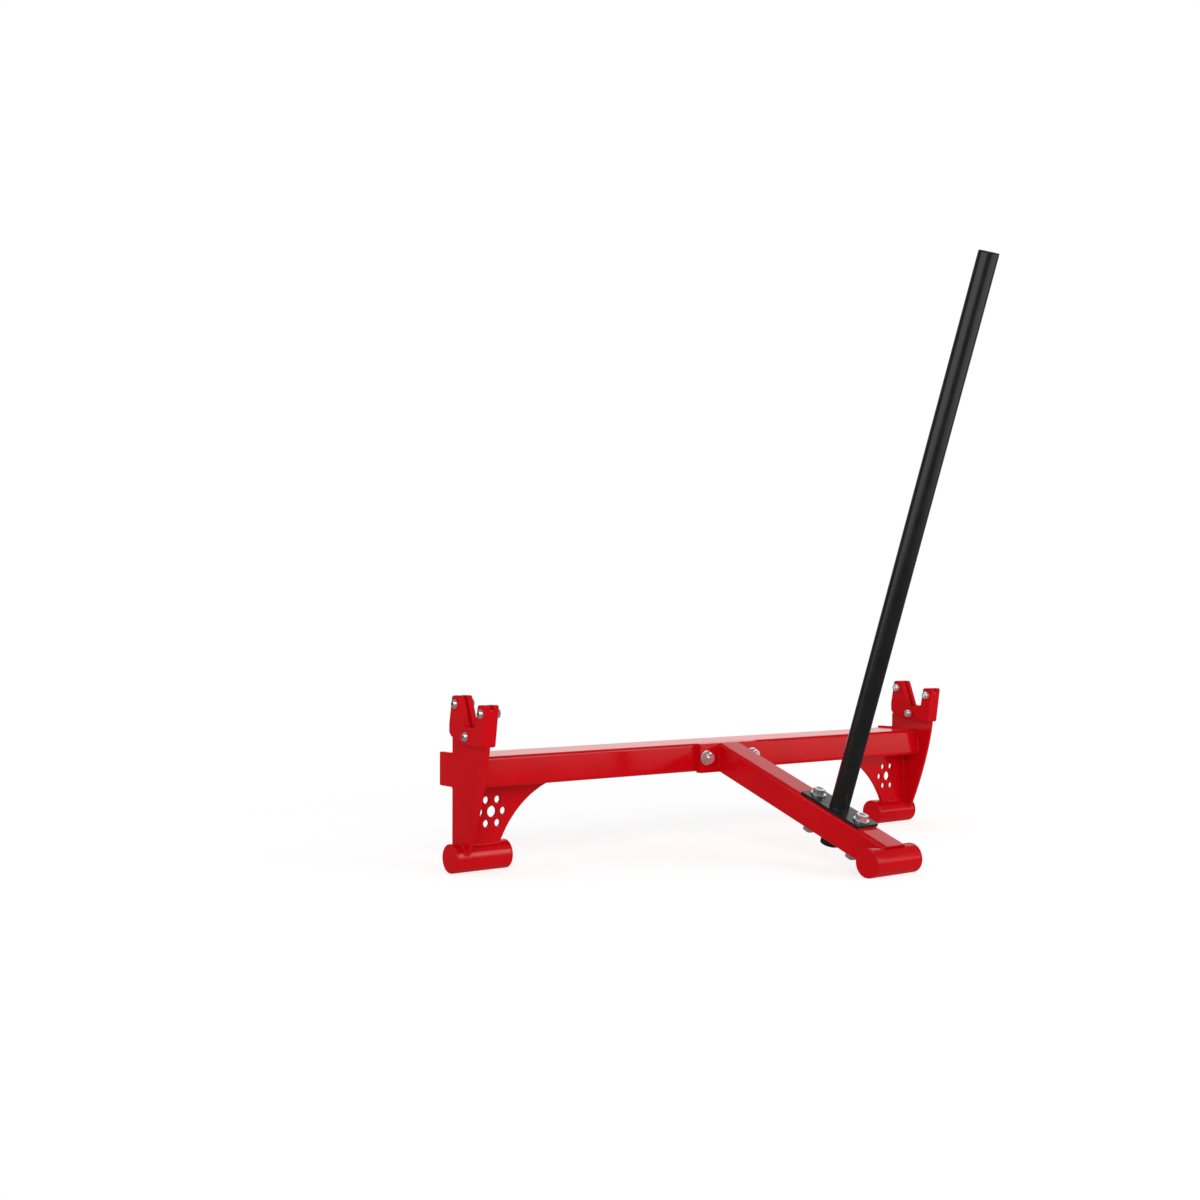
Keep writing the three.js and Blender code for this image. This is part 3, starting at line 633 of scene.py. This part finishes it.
def carved(shape, *cutters, operation="DIFFERENCE"):
    """Cuts closed bmeshes from a closed bmesh, or keeps what they share."""
    block = as_object("block", shape)
    tools = [as_object("cutter", cutter) for cutter in cutters]
    for tool in tools:
        step = block.modifiers.new("cut", "BOOLEAN")
        step.operation, step.solver, step.object = operation, "EXACT", tool
    bpy.context.view_layer.update()
    result = bmesh.new()
    result.from_object(block, bpy.context.evaluated_depsgraph_get())
    for obj in [block, *tools]:
        mesh = obj.data
        bpy.data.objects.remove(obj)
        bpy.data.meshes.remove(mesh)
    bmesh.ops.remove_doubles(result, verts=result.verts, dist=MERGE_DISTANCE)
    return result


# %% [markdown]
# ## The crossbeam
#
# The beam is a rectangular tube with rolled corners. Its section starts as one rectangle, whose four
# corners are bevelled. An inset leaves the wall, and extruding that ring along X makes the tube.

# %% Build a rectangular tube
TUBE_WALL = 3.2 * MM
TUBE_CORNER = 6 * MM
CORNER_STEPS = 8


def box_tube(width, height, length):
    """A rectangular tube: its section is centred on Z, and it rises from z = 0."""
    shape = bmesh.new()
    bmesh.ops.create_grid(shape, x_segments=1, y_segments=1, size=0.5)
    bmesh.ops.scale(shape, vec=(width, height, 1), verts=shape.verts)
    bmesh.ops.bevel(
        shape, geom=list(shape.verts), offset=TUBE_CORNER, offset_type="OFFSET", segments=CORNER_STEPS,
        profile=0.5, affect="VERTICES", material=-1,
    )
    middle = list(shape.faces)
    wall = bmesh.ops.inset_region(
        shape, faces=middle, thickness=TUBE_WALL, use_even_offset=True, use_boundary=True,
    )["faces"]
    bmesh.ops.delete(shape, geom=middle, context="FACES")
    raised = bmesh.ops.extrude_face_region(shape, geom=wall)["geom"]
    far_end = [item for item in raised if isinstance(item, bmesh.types.BMVert)]
    bmesh.ops.translate(shape, vec=(0, 0, length), verts=far_end)
    bmesh.ops.recalc_face_normals(shape, faces=shape.faces)
    return shape


beam_middle = (beam_low + beam_high) / 2
beam_size = beam_high - beam_low
beam = placed(box_tube(beam_size.z, beam_size.y, beam_size.x), ALONG_X)
placed(beam, Matrix.Translation((beam_low.x, beam_middle.y, beam_middle.z)))
print("crossbeam:", [round(side, 4) for side in beam_size])

# %% [markdown]
# Two bolts pass through the beam from back to front, in holes with a little room round them.

# %% Drill the crossbeam
BOLT_HOLE = 6.75 * MM
BORE_STEPS = 48
THROUGH = 100 * MM
ALONG_Y = Matrix.Rotation(math.pi / 2, 4, "X")


def drill(radius):
    """A round cutter about Z that reaches well past the middle on both sides."""
    profile = [(0, -THROUGH), (radius, -THROUGH), (radius, THROUGH), (0, THROUGH)]
    return turned(profile, steps=BORE_STEPS)


bolt_drills = []
for side in ("left", "right"):
    low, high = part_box(f"{side}_flange_bolt")
    hole = Matrix.Translation(((low.x + high.x) / 2, beam_middle.y, beam_middle.z))
    bolt_drills.append(placed(drill(BOLT_HOLE), hole @ ALONG_Y))
beam = carved(beam, *bolt_drills)
print("drilled crossbeam:", len(beam.faces), "faces")
dress("crossbeam_tube", beam, "red_coat", "crossbeam")

# %% [markdown]
# ## End plates, web gussets and flange
#
# These are cut from flat steel, and their outlines are settled in the solids: notched for the saddle,
# swept back to the foot, hollowed and pierced. They only need their edges eased.

# %% Ease the edges of the plates
PLATE_EASE = 0.4 * MM
FLANGE_EASE = 1 * MM
BASE_EASE = 0.6 * MM

for side in ("left", "right"):
    for part in ("end_plate", "web_gusset"):
        plate = round_edges(skin_of(f"{side}_{part}"), PLATE_EASE)
        print(side, part, len(plate.faces), "faces")
        dress(f"{side}_{part}_steel", plate, "red_coat", f"{side}_{part}")

flange = round_edges(skin_of("leg_flange"), FLANGE_EASE)
dress("leg_flange_steel", flange, "red_coat", "leg_flange")
base = round_edges(skin_of("handle_base_plate"), BASE_EASE)
dress("handle_base_steel", base, "black_coat", "handle_base_plate")

# %% [markdown]
# ## Saddle liners
#
# The liners are thick plastic cheeks on both sides of each end plate. A router has run round their
# free edges, so the flat chamfers of the solids are softened once more. The edges that lie on the plate
# stay crisp, and the three layers read as one flush block from the front.

# %% Soften the liners
LINER_EASE = 0.5 * MM
ON_SEAT = 0.1 * MM

for side in ("left", "right"):
    plate_middle = sum(corner.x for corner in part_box(f"{side}_end_plate")) / 2
    for face in ("inner", "outer"):
        low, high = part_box(f"{side}_{face}_liner")
        seat_x = low.x if abs(low.x - plate_middle) < abs(high.x - plate_middle) else high.x
        liner = round_edges(
            skin_of(f"{side}_{face}_liner"), LINER_EASE,
            keep=lambda edge: all(abs(vertex.co.x - seat_x) < ON_SEAT for vertex in edge.verts),
        )
        dress(f"{side}_{face}_saddle_liner", liner, "red_plastic", f"{side}_{face}_liner")
        print(side, face, "liner done")

# %% [markdown]
# ## Feet
#
# Each foot is a short round tube with a disc welded on either end. The discs and the tube have eased
# rims, and where two of them meet, the coat shows a fine dark line.

# %% Turn the feet
FOOT_WALL = 3.2 * MM
RIM_EASE = 0.9 * MM


def dress_foot(name, caps):
    """A foot tube and its two discs, each in the place of its node."""
    low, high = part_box(f"{name}_tube")
    radius, half = (high.z - low.z) / 2, (high.x - low.x) / 2
    home = Matrix.Translation((low + high) / 2) @ ALONG_X
    wall = [(radius - FOOT_WALL, -half), (radius, -half), (radius, half), (radius - FOOT_WALL, half)]
    tube = round_edges(turned(wall, ring=True), RIM_EASE)
    dress(f"{name}_round_tube", placed(tube, home), "red_coat", f"{name}_tube")
    for cap in caps:
        low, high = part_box(f"{name}_{cap}_cap")
        thick = (high.x - low.x) / 2
        disc = round_edges(turned([(0, -thick), (radius, -thick), (radius, thick), (0, thick)]), RIM_EASE)
        home = Matrix.Translation((low + high) / 2) @ ALONG_X
        dress(f"{name}_{cap}_disc", placed(disc, home), "red_coat", f"{name}_{cap}_cap")
    print(name, "radius", round(radius, 4))


dress_foot("front_foot", ("left", "right"))
for side in ("left", "right"):
    dress_foot(f"{side}_rear_foot", ("inner", "outer"))

# %% [markdown]
# ## The leg
#
# The leg is a square tube in its own sloping frame. A bisecting plane mitres its upper end against the
# flange, and Boolean cuts cope its lower end over the foot and let the handle and two bolts through.

# %% Build the leg
leg_low, leg_high = box_in(leg_frame, "centre_leg")
foot_low, foot_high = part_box("front_foot_tube")
foot_centre = (foot_low + foot_high) / 2
foot_radius = (foot_high.z - foot_low.z) / 2
LEG_SIZE = leg_high.x - leg_low.x
COPE_GAP = 0.3 * MM
HANDLE_BORE = 16.9 * MM
MITRE_SPARE = 20 * MM

leg = box_tube(LEG_SIZE, LEG_SIZE, leg_high.y - leg_low.y + MITRE_SPARE)
placed(leg, Matrix.Translation((0, leg_low.y, -LEG_SIZE / 2)) @ Matrix.Rotation(-math.pi / 2, 4, "X"))
placed(leg, leg_frame)
mitre_y = flange_low.y - COPE_GAP
cut = bmesh.ops.bisect_plane(
    leg, geom=leg.verts[:] + leg.edges[:] + leg.faces[:], plane_co=(0, mitre_y, 0),
    plane_no=(0, 1, 0), clear_outer=True,
)
rim = [item for item in cut["geom_cut"] if isinstance(item, bmesh.types.BMEdge)]
bmesh.ops.bridge_loops(leg, edges=rim)
bmesh.ops.recalc_face_normals(leg, faces=leg.faces)
cope = placed(drill(foot_radius + COPE_GAP), Matrix.Translation(foot_centre) @ ALONG_X)
handle_middle = (handle_low + handle_high) / 2
drills = [placed(drill(HANDLE_BORE), leg_frame @ Matrix.Translation((0, handle_middle.y, 0)))]
for spot in ("front", "rear"):
    low, high = box_in(leg_frame, f"{spot}_base_bolt")
    drills.append(placed(drill(BOLT_HOLE), leg_frame @ Matrix.Translation((0, (low.y + high.y) / 2, 0))))
leg = carved(leg, cope, *drills)
print("leg:", len(leg.faces), "faces, size", round(LEG_SIZE, 4))
dress("centre_leg_tube", leg, "red_coat", "centre_leg")

# %% [markdown]
# ## The handle
#
# The handle is one long tube that goes down through the base plate and the leg and shows its end below.
# Its top is closed by a plastic cap with a flat head and a plug inside the tube.

# %% Turn the handle and its cap
HANDLE_WALL = 3 * MM
HANDLE_EASE = 0.6 * MM
CAP_HEAD = 2.5 * MM
CAP_CROWN = 0.3 * MM
CAP_EASE = 0.9 * MM
PLUG_GAP = 0.3 * MM

handle_radius = (handle_high.x - handle_low.x) / 2
inside = handle_radius - HANDLE_WALL
bottom, top = handle_low.z, handle_high.z
home = leg_frame @ Matrix.Translation((0, handle_middle.y, 0))
handle = turned([(inside, bottom), (handle_radius, bottom), (handle_radius, top), (inside, top)], ring=True)
dress("handle_long_tube", placed(round_edges(handle, HANDLE_EASE), home), "black_coat", "handle_tube")

cap_low, cap_high = box_in(leg_frame, "handle_end_cap")
plug = inside - PLUG_GAP
seat = cap_high.z - CAP_HEAD
cap = turned([
    (0, cap_low.z), (plug, cap_low.z), (plug, seat), (handle_radius, seat),
    (handle_radius, cap_high.z - CAP_CROWN), (0, cap_high.z),
])
dress("handle_top_cap", placed(round_edges(cap, CAP_EASE), home), "black_plastic", "handle_end_cap")
print("handle diameter", round(2 * handle_radius, 4))

# %% [markdown]
# ## Fasteners
#
# A hexagon head is a six-sided blank whose corners have been turned off at 30 degrees, which leaves a
# curved edge on every flat. The blank is a cone of six sides whose two radii are alike, and it is cut to
# what it shares with a turned envelope.

# %% Make hexagon blanks
HEX_SIDES = 6
HEX_ACROSS = 19 * MM
HEX_CHAMFER = math.radians(30)
HEX_BLANK_SHARE = 1.05
ENVELOPE_STEPS = 96


def hex_blank(across, height, both_ends):
    """A chamfered hexagon that stands on z = 0."""
    corner = across / 2 / math.cos(math.pi / HEX_SIDES)
    beyond = corner * HEX_BLANK_SHARE
    drop = (beyond - across / 2) * math.tan(HEX_CHAMFER)
    blank = bmesh.new()
    bmesh.ops.create_cone(
        blank, cap_ends=True, segments=HEX_SIDES, radius1=corner, radius2=corner, depth=height,
        matrix=Matrix.Translation((0, 0, height / 2)),
    )
    base = [(across / 2, 0), (beyond, drop)] if both_ends else [(beyond, 0)]
    profile = [(0, 0), *base, (beyond, height - drop), (across / 2, height), (0, height)]
    return carved(blank, turned(profile, steps=ENVELOPE_STEPS), operation="INTERSECT")


# %% [markdown]
# A nut is the same blank, turned off at both ends and bored.

# %% Make nuts
SINK_SHARE = 1.12


def hex_nut(across, height, bore):
    """A nut that stands on z = 0, with countersunk ends."""
    sink = bore * SINK_SHARE
    dip = sink - bore
    profile = [
        (0, -dip), (sink + dip, -dip), (bore, dip),
        (bore, height - dip), (sink + dip, height + dip), (0, height + dip),
    ]
    return carved(hex_blank(across, height, True), turned(profile, steps=BORE_STEPS))


# %% [markdown]
# A thread is a saw-tooth profile that climbs by one tooth while it is spun once. Welding its doubles
# joins each turn to the next. Two bisecting planes square off the ends, and a turned envelope with a
# coned end takes off the sharp start of the thread.

# %% Cut a thread
THREAD_STEPS = 32
THREAD_DEPTH_SHARE = 0.55
CREST_SHARES = (0.42, 0.58)
TEETH_BELOW = 2
TEETH_SPARE = 3


def threaded_rod(radius, pitch, low, high, tip):
    """A threaded rod from z = low, its free end, up to z = high."""
    root = radius - THREAD_DEPTH_SHARE * pitch
    teeth = math.ceil((high - low) / pitch) + TEETH_SPARE
    start = low - TEETH_BELOW * pitch
    shape = bmesh.new()
    corners = []
    for tooth in range(teeth):
        base = start + tooth * pitch
        corners.append(shape.verts.new((root, 0, base)))
        corners += [shape.verts.new((radius, 0, base + share * pitch)) for share in CREST_SHARES]
    corners.append(shape.verts.new((root, 0, start + teeth * pitch)))
    sides = [shape.edges.new(pair) for pair in zip(corners, corners[1:])]
    bmesh.ops.spin(
        shape, geom=corners + sides, cent=(0, 0, 0), axis=(0, 0, 1), angle=2 * math.pi,
        dvec=(0, 0, pitch / THREAD_STEPS), steps=THREAD_STEPS, use_merge=False, use_duplicate=False,
    )
    bmesh.ops.remove_doubles(shape, verts=shape.verts, dist=MERGE_DISTANCE)
    for height, outward in ((low, -1), (high, 1)):
        cut = bmesh.ops.bisect_plane(
            shape, geom=shape.verts[:] + shape.edges[:] + shape.faces[:], plane_co=(0, 0, height),
            plane_no=(0, 0, outward), clear_outer=True,
        )
        rim = [item for item in cut["geom_cut"] if isinstance(item, bmesh.types.BMEdge)]
        bmesh.ops.edgeloop_fill(shape, edges=rim)
    bmesh.ops.recalc_face_normals(shape, faces=shape.faces)
    beyond = radius + tip
    profile = [(0, low), (root, low), (beyond, low + beyond - root), (beyond, high + tip), (0, high + tip)]
    return carved(shape, turned(profile, steps=BORE_STEPS), operation="INTERSECT")


# %% [markdown]
# A bolt is a head, a plain stem and a thread. Each is a closed shell, and one bmesh holds all three.

# %% Put shells together
def joined(*shapes):
    """Puts several closed shells into one bmesh."""
    whole = bmesh.new()
    for shape in shapes:
        mesh = bpy.data.meshes.new("shell")
        shape.to_mesh(mesh)
        shape.free()
        whole.from_mesh(mesh)
        bpy.data.meshes.remove(mesh)
    return whole


def plain_stem(radius, low, high):
    return turned([(0, low), (radius, low), (radius, high), (0, high)], steps=BORE_STEPS)


# %% [markdown]
# Four big bolts hold the leg on the beam and the handle on the leg. A forged head is dished a little in
# the middle, so the top of each head is cut with a shallow round dish, which mirrors more of the room
# than a flat face would.

# %% Make a frame bolt
BOLT_RADIUS = 6.35 * MM
BOLT_PITCH = 1.95 * MM
HEAD_HEIGHT = 8 * MM
THREAD_LENGTH = 26 * MM
BOLT_TIP = 1 * MM
DISH_RADIUS = 6.6 * MM
DISH_DEPTH = 1.6 * MM
DISH_STEPS = 8
HEAD_ROUND_STEPS = 64


def dish(radius, depth, top):
    """A shallow round cutter that leaves a hollow in a face at z = top."""
    ball = (radius ** 2 + depth ** 2) / (2 * depth)
    hollow = []
    for step in range(DISH_STEPS + 1):
        reach = radius * step / DISH_STEPS
        hollow.append((reach, top - depth + ball - math.sqrt(ball ** 2 - reach ** 2)))
    return turned([*hollow, (radius, top + depth), (0, top + depth)], steps=HEAD_ROUND_STEPS)


def frame_bolt(length):
    """A bolt whose free end is at z = 0 and whose head ends at z = length."""
    seat = length - HEAD_HEIGHT
    head = placed(hex_blank(HEX_ACROSS, HEAD_HEIGHT, False), Matrix.Translation((0, 0, seat)))
    head = carved(head, dish(DISH_RADIUS, DISH_DEPTH, length))
    stem = plain_stem(BOLT_RADIUS, THREAD_LENGTH, seat)
    return joined(head, stem, threaded_rod(BOLT_RADIUS, BOLT_PITCH, 0, THREAD_LENGTH, BOLT_TIP))


# %% [markdown]
# Each bolt takes its axis, its free end and its length from its own solid. Its nut and its washers find
# their places in the same way.

# %% Place the frame bolts, washers and nuts
BORE_CLEARANCE = 0.1 * MM
WASHER_EASE = 0.4 * MM
TO_THE_BACK = Matrix.Rotation(-math.pi / 2, 4, "X")


def axis_of(axes, node):
    """The frame at the low end of a fastener's own axis, and its length."""
    low, high = box_in(axes, node)
    middle = (low + high) / 2
    return axes @ Matrix.Translation((middle.x, middle.y, low.z)), high.z - low.z


FRAME_BOLTS = {
    "left_flange": TO_THE_BACK,
    "right_flange": TO_THE_BACK,
    "front_base": leg_frame,
    "rear_base": leg_frame,
}
for name, axes in FRAME_BOLTS.items():
    home, length = axis_of(axes, f"{name}_bolt")
    dress(f"{name}_hex_bolt", placed(frame_bolt(length), home), "zinc", f"{name}_bolt")
    home, height = axis_of(axes, f"{name}_nut")
    nut = hex_nut(HEX_ACROSS, height, BOLT_RADIUS + BORE_CLEARANCE)
    dress(f"{name}_hex_nut", placed(nut, home), "zinc", f"{name}_nut")
    for end in ("head", "nut"):
        low, high = box_in(axes, f"{name}_{end}_washer")
        home, thick = axis_of(axes, f"{name}_{end}_washer")
        outer = (high.x - low.x) / 2
        washer = turned([(BOLT_HOLE, 0), (outer, 0), (outer, thick), (BOLT_HOLE, thick)], ring=True)
        washer = placed(round_edges(washer, WASHER_EASE), home)
        dress(f"{name}_{end}_flat_washer", washer, "zinc", f"{name}_{end}_washer")
    print(name, "bolt length", round(length, 4))

# %% [markdown]
# Six smaller bolts clamp the liners. Their heads are low domes with a hexagon socket, outside the
# saddles, and their nuts show on the inside with the ends of the threads. Each socket, but for its mouth,
# carries the attribute *hollow*, where the zinc paints shade, since hardly any light gets down there.

# %% Make a saddle bolt
SADDLE_RADIUS = 4 * MM
SADDLE_PITCH = 1.25 * MM
SADDLE_THREAD_LENGTH = 20 * MM
SADDLE_TIP = 0.8 * MM
DOME_RADIUS = 8 * MM
DOME_HEIGHT = 4.5 * MM
DOME_ANGLE = math.radians(62)
DOME_STEPS = 10
SOCKET_CORNER = 2.5 * MM / math.cos(math.pi / HEX_SIDES)
SOCKET_DEPTH = 2.6 * MM
SOCKET_MARGIN = 0.1 * MM
HOLLOW_BELOW = 1 * MM


def saddle_bolt(length):
    """A button-headed bolt whose free end is at z = 0 and whose head ends at z = length."""
    seat = length - DOME_HEIGHT
    crown = DOME_HEIGHT / math.sin(DOME_ANGLE)
    angles = [DOME_ANGLE * step / DOME_STEPS for step in range(DOME_STEPS + 1)]
    curve = [(DOME_RADIUS * math.cos(angle), seat + crown * math.sin(angle)) for angle in angles]
    head = turned([(0, seat), *curve, (0, length)], steps=HEAD_ROUND_STEPS)
    socket = bmesh.new()
    bmesh.ops.create_cone(
        socket, cap_ends=True, segments=HEX_SIDES, radius1=SOCKET_CORNER, radius2=SOCKET_CORNER,
        depth=2 * SOCKET_DEPTH, matrix=Matrix.Translation((0, 0, length)),
    )
    stem = plain_stem(SADDLE_RADIUS, SADDLE_THREAD_LENGTH, seat)
    threads = threaded_rod(SADDLE_RADIUS, SADDLE_PITCH, 0, SADDLE_THREAD_LENGTH, SADDLE_TIP)
    bolt = joined(carved(head, socket), stem, threads)
    # The attribute hollow marks the deep part of the socket, where the zinc paints shade.
    socket_shade_layer = bolt.verts.layers.float.new("hollow")
    socket_floor, socket_mouth = length - SOCKET_DEPTH - SOCKET_MARGIN, length - HOLLOW_BELOW
    for vertex in bolt.verts:
        in_socket = math.hypot(vertex.co.x, vertex.co.y) < SOCKET_CORNER + SOCKET_MARGIN
        vertex[socket_shade_layer] = float(in_socket and socket_floor < vertex.co.z < socket_mouth)
    return bolt


# %% [markdown]
# The heads face outwards on both sides, so each side has a frame whose Z points out of the jack.

# %% Place the saddle bolts and nuts
SADDLE_ACROSS = 14 * MM

for side, turn in (("left", -math.pi / 2), ("right", math.pi / 2)):
    axes = Matrix.Rotation(turn, 4, "Y")
    for spot in ("horn", "seat", "back"):
        home, length = axis_of(axes, f"{side}_{spot}_saddle_bolt")
        bolt = placed(saddle_bolt(length), home)
        dress(f"{side}_{spot}_button_bolt", bolt, "zinc", f"{side}_{spot}_saddle_bolt")
        home, height = axis_of(axes, f"{side}_{spot}_saddle_nut")
        nut = hex_nut(SADDLE_ACROSS, height, SADDLE_RADIUS + BORE_CLEARANCE)
        dress(f"{side}_{spot}_hex_nut", placed(nut, home), "zinc", f"{side}_{spot}_saddle_nut")
    print(side, "saddle bolts placed, length", round(length, 4))

# %% [markdown]
# ## Weld beads
#
# The frame is welded, and a bead fills the corner along each seam. A seam is a row of evenly spaced
# points, straight or round a foot.

# %% Draw seams
BEAD_STEP = 0.6 * MM


def straight(start, end):
    """Evenly spaced points from one place to another."""
    start, end = Vector(start), Vector(end)
    count = max(2, round((end - start).length / BEAD_STEP))
    return [start.lerp(end, index / count) for index in range(count + 1)]


def round_foot(x, centre, radius, start, end):
    """Points on a circle across X, from one angle to another, in degrees."""
    count = max(2, round(radius * math.radians(abs(end - start)) / BEAD_STEP))
    places = []
    for index in range(count + 1):
        angle = math.radians(start + (end - start) * index / count)
        places.append(Vector((x, centre.y + radius * math.cos(angle), centre.z + radius * math.sin(angle))))
    return places


# %% [markdown]
# A bead is a thin round cord whose thickness swells and shrinks as the welder moved on. A curve with a
# bevel makes it: the points carry the swelling as their radius. The cord is centred on the seam, so only
# its open side shows.

# %% Lay beads along seams
BEAD_RADIUS = 1.4 * MM
BEAD_RIPPLE = 0.10
BEAD_PITCH = 2.4 * MM
BEAD_ROUNDING = 2


def weld(name, slot, seams, radius=BEAD_RADIUS):
    """One piece that holds the beads along several seams."""
    curve = bpy.data.curves.new(name, "CURVE")
    curve.dimensions, curve.use_fill_caps = "3D", True
    curve.bevel_depth, curve.bevel_resolution = radius, BEAD_ROUNDING
    for seam in seams:
        spline = curve.splines.new("POLY")
        spline.points.add(len(seam) - 1)
        travelled = 0.0
        for index, place in enumerate(seam):
            if index:
                travelled += (place - seam[index - 1]).length
            spline.points[index].co = (*place, 1)
            spline.points[index].radius = 1 + BEAD_RIPPLE * math.sin(2 * math.pi * travelled / BEAD_PITCH)
    cord = bpy.data.objects.new(name + "_curve", curve)
    bpy.context.scene.collection.objects.link(cord)
    bpy.context.view_layer.update()
    skin = bpy.data.meshes.new_from_object(cord.evaluated_get(bpy.context.evaluated_depsgraph_get()))
    shape = bmesh.new()
    shape.from_mesh(skin)
    bpy.data.meshes.remove(skin)
    bpy.data.objects.remove(cord)
    bpy.data.curves.remove(curve)
    bmesh.ops.remove_doubles(shape, verts=shape.verts, dist=MERGE_DISTANCE)
    bmesh.ops.recalc_face_normals(shape, faces=shape.faces)
    print(name, len(seams), "seams,", len(shape.faces), "faces")
    return dress(name, shape, slot)


# %% [markdown]
# At each end, beads run all round the beam, along both sides of the web, and over the foot on both
# faces of the end plate.

# %% Weld the ends
FOOT_SEAM = (40, 164)
TOE_MARGIN = 0.5 * MM

for side, sign in (("left", -1), ("right", 1)):
    web_low, web_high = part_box(f"{side}_web_gusset")
    foot_low, foot_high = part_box(f"{side}_rear_foot_tube")
    centre, rear_radius = (foot_low + foot_high) / 2, (foot_high.z - foot_low.z) / 2
    plate_low, plate_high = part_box(f"{side}_end_plate")
    inner_x = sign * min(abs(plate_low.x), abs(plate_high.x))
    outer_x = sign * max(abs(plate_low.x), abs(plate_high.x))
    tip_x = sign * min(abs(web_low.x), abs(web_high.x))
    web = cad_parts[f"{side}_web_gusset"].data.vertices
    toe = min(abs(vertex.co.x) for vertex in web if vertex.co.z < foot_high.z)
    toe_x = sign * (toe + TOE_MARGIN)
    top, bottom, front, back = beam_high.z, beam_low.z, beam_low.y, beam_high.y
    high_end, low_end = top - TUBE_CORNER, bottom + TUBE_CORNER
    front_end, back_end = front + TUBE_CORNER, back - TUBE_CORNER
    seams = [
        straight((inner_x, front, low_end), (inner_x, front, high_end)),
        straight((inner_x, back, low_end), (inner_x, back, high_end)),
        straight((inner_x, front_end, top), (inner_x, back_end, top)),
        straight((inner_x, front_end, bottom), (inner_x, back_end, bottom)),
        round_foot(inner_x, centre, rear_radius, *FOOT_SEAM),
        round_foot(outer_x, centre, rear_radius, *FOOT_SEAM),
    ]
    for y in (web_low.y, web_high.y):
        foot_z = centre.z + math.sqrt(rear_radius ** 2 - (y - centre.y) ** 2)
        seams += [
            straight((tip_x, y, bottom), (inner_x, y, bottom)),
            straight((inner_x, y, foot_z), (inner_x, y, bottom)),
            straight((toe_x, y, foot_z), (inner_x, y, foot_z)),
        ]
    weld(f"{side}_end_weld_beads", "red_coat", seams)

# %% [markdown]
# The leg has a bead on each side against its flange, and the handle has one all round on its base plate.

# %% Weld the leg and the handle
FINE_BEAD = 1.1 * MM
RING_STEPS = 180

leg_seams = []
for x in (-LEG_SIZE / 2, LEG_SIZE / 2):
    seam_low = (x, mitre_y, flange_low.z + TUBE_CORNER)
    seam_high = (x, mitre_y, flange_high.z - TUBE_CORNER)
    leg_seams.append(straight(seam_low, seam_high))
weld("leg_weld_beads", "red_coat", leg_seams, radius=FINE_BEAD)

base_top = box_in(leg_frame, "handle_base_plate")[1].z
ring = []
for index in range(RING_STEPS + 1):
    angle = 2 * math.pi * index / RING_STEPS
    x, y = handle_radius * math.cos(angle), handle_middle.y + handle_radius * math.sin(angle)
    ring.append(leg_frame @ Vector((x, y, base_top)))
weld("handle_weld_bead", "black_coat", [ring], radius=FINE_BEAD)
